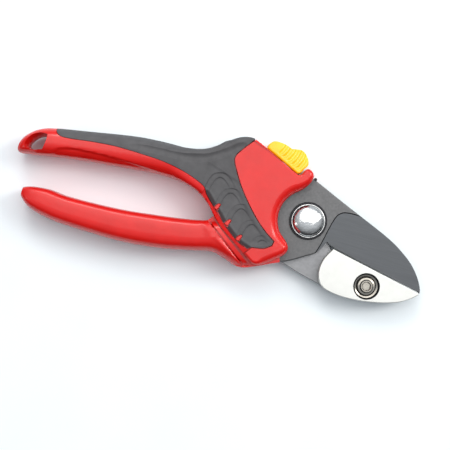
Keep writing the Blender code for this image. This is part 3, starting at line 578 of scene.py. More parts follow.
def make_finishes(colours):
    """All the finishes of the shears."""
    # Glass-filled nylon from a polished mould: an even, satin gloss with a faint grain. The real
    # grain is about 0.1 mm, and is drawn at 0.7 mm so that it shows.
    add_finish(RED, (9.0, *tones(colours.red, 0.94, 1.05)), (6.0, 0.20, 0.26, 2.0),
               (0.7, 0.002, 1.0), IOR=1.50)

    # Thermoplastic rubber from a blasted mould: matt, with a leathery grain of 0.45 mm.
    add_finish(GREY, (5.0, *tones(colours.grey, 0.90, 1.12), 6.0), (2.0, 0.55, 0.72),
               (0.45, 0.03, 3.0), IOR=1.5, Specular_IOR_Level=0.4)

    # Nylon coloured through, as the red one but more uneven in its gloss.
    add_finish(YELLOW, (6.0, *tones(colours.yellow, 0.94, 1.05)), (2.5, 0.24, 0.36), (0.5, 0.004),
               IOR=1.53)

    # Steel under a thin dark non-stick coat: low sheen, with an orange-peel speckle of 0.6 mm.
    add_finish(COATED, (1.2, *tones(linear("686869"), 0.93, 1.07), 6.0), (1.0, 0.42, 0.56),
               (0.6, 0.012, 4.0), Metallic=0.85)

    # The same coat over the ground part, smoother, with grinding lines across the blade. Real
    # lines are 0.05 mm apart, and are drawn at 0.3 mm so that they show.
    add_finish(GROUND, (0.6, *tones(linear("5b5d60"), 0.95, 1.06), 4.0), (0.4, 0.34, 0.46),
               (0.3, 0.003), along=(math.radians(75), 30.0), Metallic=0.85)

    # Stamped and tumbled carbon steel: satin, with a fine cloudy tone.
    add_finish(STAMPED, (2.5, *tones(linear("8c8c8e"), 0.92, 1.05), 6.0), (1.2, 0.34, 0.48),
               (0.5, 0.006, 3.0), Metallic=1.0)

    # Die-cast aluminium, glass-blasted: bright and matt, the grain drawn at 0.4 mm.
    add_finish(ALUMINIUM, (5.0, *tones(linear("d6d6d2"), 0.96, 1.02), 5.0), (1.5, 0.34, 0.46),
               (0.4, 0.004), Metallic=1.0)

    # Bright chrome plate over a forged head: mirror-like, with faint hammer dimples of 2.2 mm.
    add_finish(CHROME, (3.0, *tones(linear("dcdcdc"), 0.94, 1.03)), (1.6, 0.10, 0.22),
               (2.2, 0.16, 4.0), Metallic=1.0)

    # Blackened steel: dark oxide with a soft sheen, on the pivot's washer. The same dark finish stands
    # as painted shade on the anvil's counterbore, the screw's socket and sides, and the blade's edge
    # walls and lug.
    add_finish(BLACKENED_AND_PAINTED_SHADE, (1.0, *tones(linear("2b2b2e"), 0.85, 1.2), 5.0), (0.8, 0.38, 0.52),
               (0.4, 0.006), Metallic=0.8)

    # Zinc-plated steel: pale grey with a faint blotchy spangle of 1.5 mm.
    add_finish(ZINC, (1.5, *tones(linear("b9bcc2"), 0.84, 1.05), 6.0), (1.0, 0.26, 0.42),
               (0.5, 0.006), Metallic=1.0)

    # Drawn spring wire: dark and smooth under a film of oil.
    add_finish(WIRE, (1.0, *tones(linear("85868a"), 0.85, 1.1), 4.0), (0.6, 0.22, 0.34),
               (0.3, 0.004), Metallic=1.0)

    # Turned stainless steel: fine rings about the screw's own axis. A scale of 900 puts them 0.35 mm
    # apart, coarser than real turning marks, so that they show.
    tree = add_finish(STAINLESS, (1.5, *tones(linear("a8a39a"), 0.85, 1.05), 5.0),
                      (0.8, 0.16, 0.26), Metallic=1.0).node_tree
    where = next(n for n in tree.nodes if n.type == "TEX_COORD").outputs["Object"]
    centred = add_node(tree, "ShaderNodeMapping",
                       {"Location": (-SCREW_CENTRE[0] * MM, -SCREW_CENTRE[1] * MM, 0.0)},
                       {"Vector": where}).outputs["Vector"]
    rings = add_node(tree, "ShaderNodeTexWave",
                     {"wave_type": "RINGS", "rings_direction": "Z", "Scale": 900.0, "Distortion": 0.6},
                     {"Vector": centred})
    bump = add_node(tree, "ShaderNodeBump", {"Strength": 0.4, "Distance": 0.004 * MM},
                    {"Height": rings.outputs["Fac"]})
    tree.links.new(bump.outputs["Normal"], tree.nodes["Principled BSDF"].inputs["Normal"])


# Pieces --------------------------------------------------------------------------------------

def distance_to(line, x, y):
    """Distance from an open line in plan, positive on its right-hand side."""
    here = Vector((x, y))
    best = None
    for a, b in zip(line, line[1:]):
        along = b - a
        t = min(1.0, max(0.0, (here - a).dot(along) / along.length_squared))
        away = here - (a + along * t)
        if best is None or away.length < best[0]:
            side = along.x * (here.y - a.y) - along.y * (here.x - a.x)
            best = (away.length, -1.0 if side > 0 else 1.0)
    return best[0] * best[1]


def upper_form(name, inset=0.0):
    """The upper handle's whole outside, or its core: the bar joined to the head."""
    line = flat(curved(POCKET, closed=False))
    depth = bpy.context.scene.shears_sizes.pocket_depth / MM

    def dent(x, y):
        if inset or y > 6.0 or x < -142.0:
            return 0.0
        fade = smoothstep((-60.0 - x) / 16.0)
        return depth * fade * smoothstep((distance_to(line, x, y) + 0.2) / 1.0)

    outline = curved(HEAD, corner=70.0, step=1.0)
    if inset:
        head = plate(name + "_head", offset(outline, -inset), inset, BODY_FRONT - inset)
    else:
        rims = [p[2] for p in outline]
        head = plate(name + "_head", outline, BODY_BACK, BODY_FRONT, [min(w, 2.4) for w in rims],
                     rims, 6, 1.7)
    form = bar(name, UPPER_SECTIONS, inset, 96 if not inset else 48, 0.9 if not inset else 2.0,
               ROOT_SQUARE, dent)
    return combine(form, (JOIN, head))


def tall(name, outline, back=-8.0):
    """A cutter with straight walls through the whole thickness."""
    return plate(name, outline, back, OVER)


def scale_depth(x, y, sizes):
    """How far the band's overlapping scales sink it at a place."""
    first, pitch = Vector((-50.3, 8.1)), Vector((7.5, -6.1))
    into, side = Vector((0.30, -0.954)), Vector((0.954, 0.30))
    bend, tread, edge, scales = 0.21, 2.4, 0.45, 5
    drop = sizes.scale_step / MM
    result = 0.0
    for k in range(scales):
        rel = Vector((x, y)) - (first + pitch * k)
        sideways = rel.dot(side)
        inside = (rel.dot(into) - bend * sideways ** 2) / math.hypot(1.0, 2 * bend * sideways)
        outer = smoothstep((inside + tread) / edge)
        if outer == 0.0:
            continue
        inner = smoothstep(inside / edge)
        along = min(1.0, max(0.0, rel.dot(pitch.normalized()) / pitch.length))
        own = drop * (outer + inner) * (1.0 - 0.9 * along)
        result = result * (1 - outer) + own * outer
    return result


def build_upper_handle(sizes):
    """The upper handle's red moulding, with the hanging loop and the mechanism's cavity."""
    handle = upper_form("upper_moulding")
    core = upper_form("core", sizes.grip_thickness / MM + GAP)
    loop, mouth = curved(LOOP, corner=50.0, step=0.6), curved(LOOP_MOUTH, corner=50.0, step=0.6)
    count = 60

    def even(outline):
        """The outline at an even count of points along its length."""
        points = flat(outline)
        points.append(points[0])
        lengths = [0.0]
        for a, b in zip(points, points[1:]):
            lengths.append(lengths[-1] + (b - a).length)
        result = []
        for i in range(count):
            goal = lengths[-1] * i / count
            k = max(j for j in range(len(lengths) - 1) if lengths[j] <= goal)
            t = (goal - lengths[k]) / (lengths[k + 1] - lengths[k])
            result.append(points[k].lerp(points[k + 1], t))
        return result

    hole, wide = even(loop), even(mouth)
    # The funnel's heights, and its share of the way from the hole to the mouth at each.
    rings = []
    for height, share in ((-1.0, 1.06), (0.2, 0.92), (3.0, 0.45), (8.0, 0.0), (11.0, 0.0),
                          (15.0, 0.12), (18.5, 0.42), (20.8, 0.80), (22.0, 1.02), (23.0, 1.2)):
        rings.append([(*a.lerp(b, share), height) for a, b in zip(hole, wide)])
    funnel = stacked("funnel", rings)
    arm_bed = plate("arm_bed", offset(curved(ARM, corner=40.0), GAP), ARM_BACK - GAP, ARM_FRONT + GAP)
    right = high("lock_bar", 0)
    left = right - BAR_WIDTH - abs(TRACK.x) * LOCK_REACH - PLAY
    right += PLAY
    slot = [(left, 12.0), (right, 12.0), (right, 40.0), (left, 40.0)]
    ledge = band_ledge()
    combine(
        handle,
        (CUT, tall("grip_bed", grip_region())),
        (JOIN, core),
        (CUT, plate("cover_bed", offset(panel_region(), 0.1), COVER_BACK - GAP, OVER)),
        (CUT, plate("cavity", cavity_region(), HEAD_BACK - GAP, COVER_BACK - 0.1)),
        (CUT, arm_bed),
        (CUT, plate("lock_slot", slot, BLADE_FRONT + PLAY - GAP,
                           BLADE_FRONT + PLAY + BAR_HEIGHT + GAP)),
        (CUT, funnel),
        (CUT, ledge),
    )
    steps = []
    for name, centre, radius, mouth_radius, seat in (
            ("cover_hole", COVER_SCREW, SCREW_BORE, 3.2, 2.3),
            ("body_hole", BODY_SCREW, SCREW_BORE, 3.2, 2.3),
            ("rivet_hole", ARM_RIVET, PIN_BORE, 3.1, 2.0)):
        steps.append((CUT, cylinder(name, radius, -1.0, ARM_BACK, centre)))
        steps.append((CUT, cylinder(name + "_mouth", mouth_radius, -1.0, seat, centre)))
    steps.append((CUT, cylinder("body_hole_end", SCREW_BORE, ARM_FRONT, HEAD_FRONT - 2.0, BODY_SCREW)))
    for index, (x, y) in enumerate(TABS):
        steps.append((JOIN, tab(index, x, y)))
    combine(handle, *steps)
    return finished(handle, "upper_handle_moulding", RED, "upper", "red_nylon", "upper_handle")


def band_ledge():
    """A cutter that lowers the red strip outside the grip's band, front and back."""
    outer = [(-58.0, -8.0), (-54.0, -4.2), (-46.6, -12.0), (-36.8, -21.0), (-22.6, -31.0),
             (-16.0, -33.0)]
    inner = [(-25.0, -21.0), (-30.3, -19.6), (-38.0, -14.6), (-46.2, -7.4), (-52.0, -1.8),
             (-56.0, 0.6)]
    outline = flat(curved(outer, closed=False)) + flat(curved(inner, closed=False))
    start, down = Vector((-38.0, -15.8)), Vector((-0.6, -0.8))
    slope = [(p.x, p.y, BODY_FRONT - 1.5 - 0.38 * (p - start).dot(down)) for p in outline]
    return stacked("ledge", [slope, [(p.x, p.y, OVER) for p in outline]])


def tab(index, x, y):
    """A small red tab that the core pushes up through a notch in the band's edge."""
    shape = [(-1.6, -1.6), (0.2, -2.2), (0.9, -0.6), (1.3, 1.0), (0.6, 1.3), (-0.5, 0.4)]
    outline = curved([(x + a, y + b) for a, b in shape], corner=80.0, step=0.4)
    return plate(f"tab_{index}", outline, MIDDLE + 4.0, BODY_FRONT - 0.7, 0.0, 0.35, 3)


def build_front_cover():
    """The head's front panel, with a rounded rim and the boss for the cover screw."""
    outline = curved(HEAD, corner=70.0, step=0.8)
    rims = [p[2] for p in outline]
    cover = plate("cover", outline, COVER_BACK - 6.0, BODY_FRONT, 0.0, rims, 8, 1.7)
    block = plate("block", offset(panel_region(), 0.1 - GAP), COVER_BACK, OVER)
    boss_back = ARM_FRONT + 0.6
    seam = flat(curved([(-41.5, 31.3), (-37.5, 29.7), (-31.5, 27.9), (-22.0, 24.0), (-12.6, 20.1)],
                       closed=False))
    strip = seam + [p + Vector((0.3, 0.7)) for p in seam[::-1]]
    combine(
        cover, (KEEP, block),
        (JOIN, cylinder("boss", 3.0, boss_back, COVER_BACK + 1.0, COVER_SCREW)),
        (CUT, cylinder("boss_hole", SCREW_BORE, boss_back - 1.0, HEAD_FRONT - 2.0, COVER_SCREW)),
        (CUT, plate("seam", strip, BODY_FRONT - 0.9, OVER)),
    )
    return finished(cover, "front_panel", RED, "upper", "red_nylon", "front_cover")


def build_grip(sizes):
    """The soft grip over the thumb side and across the head, with its scales and pads."""
    grip = upper_form("grip")
    region = tall("region", offset(grip_region(), -GAP))
    top = BODY_FRONT

    # The band lies a little low, falls away at 45 degrees along its edge and has a lip there.
    sink, shoulder, fall, lip_rise = 0.24, 0.35, 1.9, 0.22
    valley_depth, valley_at, valley_width = 1.5, 5.0, 2.4

    def surface(x, y):
        start = smoothstep((14.0 - y - 0.3 * (x + 50.0)) / 4.0)
        fade = smoothstep((distance_to(panel_line, x, y) - 1.2) / 2.0)
        wall = min(1.0, max(0.0, (distance_to(band_line, x, y) + fall) / fall))
        lip = lip_rise * math.exp(-((distance_to(band_line, x, y) + 2.5) / 0.55) ** 2)
        level = top - sink * start - scale_depth(x, y, sizes) * fade + lip * start
        return level + shoulder * (1 - start) - fall * wall * start

    def hump(x, y):
        away = abs(distance_to(thumb_line, x, y))
        ends = smoothstep((x + 112.0) / 24.0) * smoothstep((-38.5 - x) / 6.0)
        return top + 0.5 - valley_depth * ends * math.exp(-((away - valley_at) / valley_width) ** 2)

    panel_line = flat(curved(PANEL_EDGE, closed=False, corner=40.0))
    band_line = flat(curved(BAND_EDGE, closed=False))
    thumb_line = [Vector(p[:2]) for p in UPPER_SECTIONS[5:-1]] + flat(HEAD[-4:])
    corner, extent = (-58.0, -25.0), (46.0, 42.0)
    notches = []
    for index, (x, y) in enumerate(TABS):
        shape = [(-2.6, -2.8), (0.4, -3.0), (1.2, -0.8), (1.6, 1.1), (0.6, 1.7), (-0.9, 0.6)]
        outline = curved([(x + a, y + b) for a, b in shape], corner=80.0, step=0.4)
        notches.append((CUT, plate(f"notch_{index}", outline, MIDDLE + 5.0, OVER)))
    combine(
        grip, (KEEP, region), (CUT, upper_form("grip_core", sizes.grip_thickness / MM)),
        (CUT, above("hump", (-114.0, 2.0), (79.0, 32.0), 0.8, hump)),
        (CUT, above("scales", corner, extent, 0.32, surface)), *notches,
    )
    return finished(grip, "grip_sleeve", GREY, "upper", "grey_rubber", "soft_grip")


def build_arm():
    """The stamped arm plate that carries the anvil."""
    arm = plate("arm", curved(ARM, corner=40.0), ARM_BACK, ARM_FRONT, 0.35, 0.35, 2)
    steps = []
    for name, centre, radius in (("pivot", (0.0, 0.0), PIVOT_BORE),
                                 ("cover", COVER_SCREW, SCREW_BORE),
                                 ("body", BODY_SCREW, SCREW_BORE),
                                 ("rivet", ARM_RIVET, PIN_BORE),
                                 ("anvil", SCREW_CENTRE, ANVIL_BORE)):
        steps.append((CUT, cylinder(name + "_bore", radius, ARM_BACK - 1, ARM_FRONT + 1, centre)))
    combine(arm, *steps)
    return finished(arm, "anvil_carrier", STAMPED, "upper", "arm_steel", "anvil_arm")


def build_anvil():
    """The anvil with its counterbore, whose walls and floor carry painted shade."""
    anvil = plate("anvil_block", curved(ANVIL, corner=45.0), ANVIL_BACK, ANVIL_FRONT, 0.4, 0.4, 3)
    mark = [(1.35, ANVIL_FRONT + 0.5), (1.35, ANVIL_FRONT - 0.08), (1.65, ANVIL_FRONT - 0.08),
            (1.65, ANVIL_FRONT + 0.5)]
    combine(
        anvil,
        (CUT, cylinder("anvil_bore", ANVIL_BORE, ANVIL_BACK - 1, ANVIL_FRONT + 1, SCREW_CENTRE)),
        (CUT, cylinder("counterbore", SCREW_FLANGE + 0.6, MIDDLE, ANVIL_FRONT + 1, SCREW_CENTRE, 96)),
        (CUT, turned("ring_mark", mark, (25.0, -19.0), 32)),
    )
    finished(anvil, "anvil_casting", ALUMINIUM, "upper", "anvil_aluminium", "anvil")

    # The counterbore's walls and floor and the bore's walls get the dark finish as painted shade.
    def painted_shade_in_bore(middle, normal):
        away = (middle.to_2d() - Vector(SCREW_CENTRE)).length
        return int(away < SCREW_FLANGE + 0.65 and middle.z < ANVIL_FRONT - 0.2)

    dress(anvil, [BLACKENED_AND_PAINTED_SHADE], painted_shade_in_bore)


def build_anvil_screw():
    """The flanged button screw in the anvil, with a hex socket."""
    seat, top = MIDDLE + GAP, high("anvil_screw", 2)
    profile = [(0.0, top), (2.9, top), (3.1, top - 0.15), (3.5, top - 1.3), (4.4, top - 1.5),
               (4.7, top - 1.8), (4.8, seat + 0.9), (5.1, seat + 0.6), (SCREW_FLANGE - 0.3, seat + 0.9),
               (SCREW_FLANGE, seat + 0.6), (SCREW_FLANGE, seat), (2.5, seat), (2.5, ARM_BACK + 0.5),
               (2.2, ARM_BACK + 0.2), (0.0, ARM_BACK + 0.2)]
    screw = turned("screw", profile, SCREW_CENTRE)
    bevel = [(0.0, top + 0.5), (2.6, top + 0.1), (2.1, top - 0.4), (0.0, top - 0.4)]
    combine(screw, (CUT, turned("socket_mouth", bevel, SCREW_CENTRE, 48)),
            (CUT, cylinder("socket", 2.3, top - 2.0, top + 1.0, SCREW_CENTRE, 6)))
    finished(screw, "anvil_button_screw", STAINLESS, "upper", "screw_steel", "anvil_screw")

    # The socket's walls and floor and the screw's steep sides get the dark finish as painted shade.
    def in_painted_shade(middle, normal):
        away = (middle.to_2d() - Vector(SCREW_CENTRE)).length
        return int(away < 2.2 and top - 1.9 < middle.z < top - 0.45 or abs(normal.z) < 0.4)

    dress(screw, [BLACKENED_AND_PAINTED_SHADE], in_painted_shade)


def build_pivot():
    """The domed pivot bolt and the dark washer under it."""
    back, front = low("pivot_washer", 2) + 0.6 + GAP, high("pivot_bolt", 2)
    rim, flat_rim = BOLT_RADIUS, BOLT_RADIUS - 0.4
    rise = front - back - 0.9
    profile = []
    for i in range(13):
        angle = math.radians(90 - 90 * i / 12)
        profile.append((flat_rim * math.cos(angle), back + 0.9 + rise * math.sin(angle)))
    profile[0] = (0.0, front)
    profile += [(flat_rim + 0.1, back + 0.75), (rim - 0.12, back + 0.75), (rim, back + 0.6),
                (rim, back), (4.0, back), (4.0, 1.1), (0.0, 1.1)]
    bolt = turned("bolt", profile, steps=96)
    finished(bolt, "pivot_bolt_head", CHROME, "upper", "bolt_chrome", "pivot_bolt", angle=50.0)
    base, bore = low("pivot_washer", 2), PIVOT_BORE
    ring = [(bore, base + 0.6), (WASHER_RADIUS - 0.2, base + 0.6), (WASHER_RADIUS, base + 0.4),
            (WASHER_RADIUS, base), (bore, base)]
    washer = turned("washer", ring, steps=96)
    return finished(washer, "pivot_washer_ring", BLACKENED_AND_PAINTED_SHADE, "upper", "washer_steel", "pivot_washer")


def build_lock(sizes):
    """The ribbed slider of the thumb lock."""
    lift = ACROSS * (GAP + 0.1)
    rear, fore = TRACK_END - TRACK * 20.3 + lift, TRACK_END - TRACK * 0.2 + lift
    outline = curved([tuple(rear), tuple(fore), (-11.1, 22.3), (-10.1, 24.6), (-8.6, 27.2),
                      (-9.3, 29.8), (-11.6, 32.7), (-13.9, 33.8), (-17.2, 33.4), (-19.0, 33.0),
                      (-21.3, 33.8), (-24.9, 34.4), (-28.1, 34.3), (-29.8, 33.4), (-31.4, 30.9)],
                     corner=50.0, step=0.5)
    back, front = low("lock_slider", 2), high("lock_slider", 2)
    slider = plate("slider", outline, back, front, 1.2, 1.2, 5)
    rib, crown = sizes.rib_depth / MM, 2.8

    def surface(x, y):
        rel = Vector((x, y)) - TRACK_START
        u, v = rel.dot(TRACK), rel.dot(ACROSS)
        bow = u + 0.035 * (v - 6.0) ** 2
        ribbed = smoothstep((u - 12.5) / 2.0) * smoothstep((v - 1.6) / 1.6)
        wave = 0.5 - 0.5 * math.cos(2 * math.pi * (bow - 13.0) / 3.0)
        return front - crown * (max(0.0, v) / 12.5) ** 2.0 - rib * wave * ribbed + 0.02

    corner, extent = (-33.0, 19.0), (26.0, 17.0)
    left, right = high("lock_bar", 0) - BAR_WIDTH, high("lock_bar", 0)
    pocket = [(left - GAP, 10.0), (right + GAP, 10.0), (right + GAP, 28.9), (left - GAP, 28.9)]
    level = BLADE_FRONT + PLAY
    combine(
        slider, (CUT, above("ribs", corner, extent, 0.25, surface)),
        (CUT, above("ribs_behind", corner, extent, 0.25, surface, behind=True)),
        (CUT, plate("slider_pocket", pocket, level - GAP, level + BAR_HEIGHT + GAP)),
    )
    return finished(slider, "thumb_slider", YELLOW, "lock", "yellow_nylon", "lock_slider")


def build_lower_handle(sizes):
    """The lower handle: bar, grooved collar and the narrow head that holds the tang."""
    first, second = COLLAR
    along = (second - first).normalized()
    past = Vector((-along.y, along.x))
    groove_at = first - past * 2.4

    def valley(x, y):
        back = (groove_at - Vector((x, y))).dot(past)
        if back <= 0.0:
            return 0.3
        ridge = max(0.8, 3.2 - 0.09 * (Vector((x, y)) - first).dot(along))
        fall = 0.9 * (1.0 - min(1.0, back / ridge))
        return fall + 0.3 * smoothstep((back - ridge) / 1.6)

    handle = bar("lower", LOWER_SECTIONS, 0.0, 96, 0.9, dent=valley, firm=FIRM)
    reach = along * 60.0
    wide = past * sizes.collar_groove / MM

    def strip(a, b):
        return [a - reach, a + reach, b + reach, b - reach]

    slab = tall("slab", strip(groove_at - wide / 2, groove_at + wide / 2), -5.0)
    combine(slab, (CUT, bar("slab_core", LOWER_SECTIONS, 2.0, 48, 2.0)))
    flange = tall("flange", strip(groove_at, first + past * 0.5), -5.0)
    combine(flange, (CUT, bar("flange_core", LOWER_SECTIONS, 0.6, 48, 2.0)))
    beyond = tall("beyond", strip(first, first + past * 60.0), -5.0)
    head = plate("lower_head", LOWER_HEAD, HEAD_BACK, HEAD_FRONT)
    steps = [(CUT, beyond), (CUT, flange), (CUT, slab), (JOIN, head),
             (CUT, plate("tang_slot", offset(curved(BLADE, corner=30.0), PLAY), BLADE_BACK - GAP,
                         BLADE_FRONT + GAP))]
    for index, centre in enumerate(BLADE_PINS):
        bore = cylinder(f"pin_bore_{index}", PIN_BORE, HEAD_BACK - 1, HEAD_FRONT + 1, centre)
        steps.append((CUT, bore))
    combine(handle, *steps)
    return finished(handle, "lower_handle_moulding", RED, "lower", "red_nylon", "lower_handle")


def build_blade(sizes):
    """The blade: a coated plate with a ground face on each side and a thin bevelled edge."""
    blade = plate("blade_plate", curved(BLADE, corner=30.0, step=1.2), BLADE_BACK, BLADE_FRONT,
                  0.55, 0.55, 2)
    lug = cylinder("lug", 0.85, BLADE_BACK + 0.2, BLADE_FRONT - 0.1, LUG, 24)
    border = flat(curved(GROUND_EDGE, closed=False, corner=60.0, step=0.6))
    region = border + flat([(80.0, 20.0), (80.0, -40.0), (8.0, -30.0)])
    edge_a, edge_b = Vector((15.4, -9.2)), Vector((65.1, -18.7))
    edge = (edge_b - edge_a).normalized()
    inward = Vector((-edge.y, edge.x))
    step, thin = sizes.grind_step / MM, 0.62

    def ground(point, front):
        far = (point - edge_a).dot(inward)
        depth = step + thin * (1.0 - far / 27.0)
        return BLADE_FRONT - depth if front else BLADE_BACK + depth

    lower = [(p.x, p.y, ground(p, True)) for p in region]
    around = offset(region, 0.55)
    front_cut = stacked("front_grind", [lower, [(p.x, p.y, BLADE_FRONT) for p in around],
                                        [(p.x, p.y, OVER) for p in around]])
    lower = [(p.x, p.y, -10.0) for p in region]
    upper = [(p.x, p.y, ground(p, False)) for p in region]
    back_cut = stacked("back_grind", [lower, upper])
    reach = [edge_a - edge * 3.0, edge_b + edge * 6.0]
    bevels = []
    for name, side in (("front_edge", 1.0), ("back_edge", -1.0)):
        rings = []
        for point in reach:
            out, rim = point - inward * 1.5, point + inward * 0.9
            rings.append([(*rim, MIDDLE + side * 8.0), (*rim, MIDDLE + side * 0.75),
                          (*out, MIDDLE - side * 0.35), (*out, MIDDLE + side * 8.0)])
        bevels.append((CUT, stacked(name, rings)))
    bores = []
    for index, (radius, centre) in enumerate([(PIVOT_BORE, (0.0, 0.0))]
                                             + [(PIN_BORE, centre) for centre in BLADE_PINS]):
        bore = cylinder(f"blade_bore_{index}", radius, BLADE_BACK - 1, BLADE_FRONT + 1, centre)
        bores.append((CUT, bore))
    combine(blade, (CUT, front_cut), (CUT, back_cut), *bevels, *bores, (JOIN, lug))
    finished(blade, "blade_plate", COATED, "lower", "blade_steel", "blade", angle=20.0)

    # Steep faces, such as the rim bevels, the grind step and the bore walls, and the lug get the dark
    # finish as painted shade. This draws dark outlines along the blade's edges and a dark dot at the
    # lug.
    def ground_or_painted_shade(middle, normal):
        if abs(normal.z) < 0.9 or (middle.to_2d() - LUG).length < 0.8:
            return 2
        return int(BLADE_BACK + 0.1 < middle.z < BLADE_FRONT - 0.1 and middle.x > 9.0)

    dress(blade, [GROUND, BLACKENED_AND_PAINTED_SHADE], ground_or_painted_shade)


def finish_hidden():
    """Give the CAD pieces inside the head and on its back their finishes."""
    for node, finish in (("cover_screw", ZINC), ("body_screw", ZINC), ("arm_rivet", ZINC),
                         ("pivot_spacer", ZINC), ("pivot_nut", ZINC), ("return_spring", WIRE),
                         ("lock_bar", ZINC), ("blade_pin_1", ZINC), ("blade_pin_2", ZINC)):
        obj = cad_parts[node]
        for slot in obj.material_slots:
            slot.material = bpy.data.materials[finish]


# Stage ---------------------------------------------------------------------------------------

def build_stage():
    """A pale floor, soft lights and a camera straight above."""
    scene = bpy.context.scene
    scene.view_settings.view_transform = "Standard"
    bm = bmesh.new()
    reach = 4.0
    bmesh.ops.create_grid(bm, x_segments=1, y_segments=1, size=reach)
    floor = place("floor", bm)
    # White seamless paper: matt, with a faint tooth.
    paper = add_finish("seamless paper", (60.0, linear("ecf3f7"), linear("eff5f9")), None,
                       (0.8, 0.01), Roughness=0.9, Specular_IOR_Level=0.1)
    floor.data.materials.append(paper)

    # The view is turned about Z, and right and up are its own directions.
    turn = math.radians(17.0)
    right = Vector((math.cos(turn), math.sin(turn), 0.0))
    up = Vector((-math.sin(turn), math.cos(turn), 0.0))

    # The room is bright above and on the thumb side, and dark low down on the finger side.
    world = bpy.data.worlds.new("studio")
    world.use_nodes = True
    tree = world.node_tree
    brightest = (up * 0.45 + right * 0.10 + Vector((0.0, 0.0, 0.88))).normalized()
    sky = add_node(tree, "ShaderNodeTexCoord").outputs["Generated"]
    toward = add_node(tree, "ShaderNodeVectorMath", {"operation": "DOT_PRODUCT", 1: tuple(brightest)},
                      {0: sky})
    level = add_node(tree, "ShaderNodeMapRange",
                     {"From Min": 0.1, "From Max": 1.0, "To Min": 0.07, "To Max": 1.0},
                     {"Value": toward.outputs["Value"]})
    background = tree.nodes["Background"]
    cool_white = (0.90, 0.95, 1.0, 1.0)
    background.inputs["Color"].default_value = cool_white
    tree.links.new(level.outputs["Result"], background.inputs["Strength"])
    scene.world = world

    warm_white = (1.0, 0.975, 0.935)
    # Each light: its place from the middle of the view and its size in metres, and its radiance.
    middle = Vector((-40.6, -14.6, MIDDLE)) * MM
    for name, across, along, height, width, depth, radiance in (
            ("overhead_softbox", 0.10, 0.42, 1.00, 1.20, 1.05, 1.5),
            ("key_softbox", -0.10, 1.10, 1.10, 0.55, 0.45, 5.0),
            ("right_softbox", 0.85, 0.30, 0.85, 0.30, 0.60, 9.5),
            ("left_strip", -0.85, -0.20, 0.60, 0.10, 0.30, 5.0)):
        data = bpy.data.lights.new(name, "AREA")
        data.shape = "RECTANGLE"
        data.size = width
        data.size_y = depth
        data.energy = radiance * math.pi * width * depth
        data.color = warm_white
        light = bpy.data.objects.new(name, data)
        light.location = middle + right * across + up * along + Vector((0.0, 0.0, height))
        light.rotation_euler = (middle - light.location).to_track_quat("-Z", "Y").to_euler()
        scene.collection.objects.link(light)

    data = bpy.data.cameras.new("camera")
    distance, field, sensor = 0.60, 0.234, 36.0
    data.sensor_width = sensor
    data.lens = sensor * distance / field
    data.clip_start = 0.01
    camera = bpy.data.objects.new("camera", data)
    camera.location = middle + Vector((0.0, 0.0, distance))
    camera.rotation_euler = (0.0, 0.0, turn)
    scene.collection.objects.link(camera)
    scene.camera = camera


# Settings, operators and panel ----------------------------------------------------------------

def size(name, default, description):
    """A length in metres that a user may change."""
    return bpy.props.FloatProperty(name=name, description=description, default=default, min=0.0,
                                   precision=5, subtype="DISTANCE", unit="LENGTH")


def colour(name, code, description):
    """A colour that a user may change."""
    return bpy.props.FloatVectorProperty(name=name, description=description, size=3, min=0.0,
                                         max=1.0, default=linear(code)[:3], subtype="COLOR")


class ShearsSizes(bpy.types.PropertyGroup):
    """Sizes of the details that the frame doesn't set."""
    grip_thickness: size("Grip thickness", 0.002, "Soft grip over the handle's core")
    pocket_depth: size("Pocket depth", 0.0011, "Depth of the pocket along the upper handle")
    scale_step: size("Scale step", 0.0005, "Height of each step of the band's scales")
    rib_depth: size("Rib depth", 0.0006, "Depth of the grooves between the slider's ribs")
    collar_groove: size("Collar groove", 0.0009, "Width of the groove at the lower handle's collar")
    grind_step: size("Grind step", 0.00025, "Depth of the ground face below the blade's flat")


class ShearsColours(bpy.types.PropertyGroup):
    """Colours of the mouldings."""
    red: colour("Red", "d41814", "Nylon of both handles and the front panel")
    grey: colour("Grey", "504f51", "Rubber of the grip")
    yellow: colour("Yellow", "f2c40c", "Nylon of the thumb lock's slider")


class SHEARS_OT_stage(bpy.types.Operator):
    """Set up the floor, the lights and the camera"""
    bl_idname = "shears.stage"
    bl_label = "Stage"

    def execute(self, context):
        build_stage()
        return {"FINISHED"}


class SHEARS_OT_finishes(bpy.types.Operator):
    """Make the finishes of all the pieces"""
    bl_idname = "shears.finishes"
    bl_label = "Finishes"

    def execute(self, context):
        make_finishes(context.scene.shears_colours)
        return {"FINISHED"}


class SHEARS_OT_upper_handle(bpy.types.Operator):
    """Build the upper handle's moulding"""
    bl_idname = "shears.upper_handle"
    bl_label = "Upper handle"

    def execute(self, context):
        build_upper_handle(context.scene.shears_sizes)
        return {"FINISHED"}


class SHEARS_OT_front_cover(bpy.types.Operator):
    """Build the head's front panel"""
    bl_idname = "shears.front_cover"
    bl_label = "Front panel"

    def execute(self, context):
        build_front_cover()
        return {"FINISHED"}


class SHEARS_OT_soft_grip(bpy.types.Operator):
    """Build the soft grip and its band"""
    bl_idname = "shears.soft_grip"
    bl_label = "Soft grip"

    def execute(self, context):
        build_grip(context.scene.shears_sizes)
        return {"FINISHED"}


class SHEARS_OT_anvil_arm(bpy.types.Operator):
    """Build the arm plate"""
    bl_idname = "shears.anvil_arm"
    bl_label = "Anvil arm"

    def execute(self, context):
        build_arm()
        return {"FINISHED"}


class SHEARS_OT_anvil(bpy.types.Operator):
    """Build the anvil"""
    bl_idname = "shears.anvil"
    bl_label = "Anvil"

    def execute(self, context):
        build_anvil()
        return {"FINISHED"}


class SHEARS_OT_anvil_screw(bpy.types.Operator):
    """Build the anvil's screw"""
    bl_idname = "shears.anvil_screw"
    bl_label = "Anvil screw"

    def execute(self, context):
        build_anvil_screw()
        return {"FINISHED"}


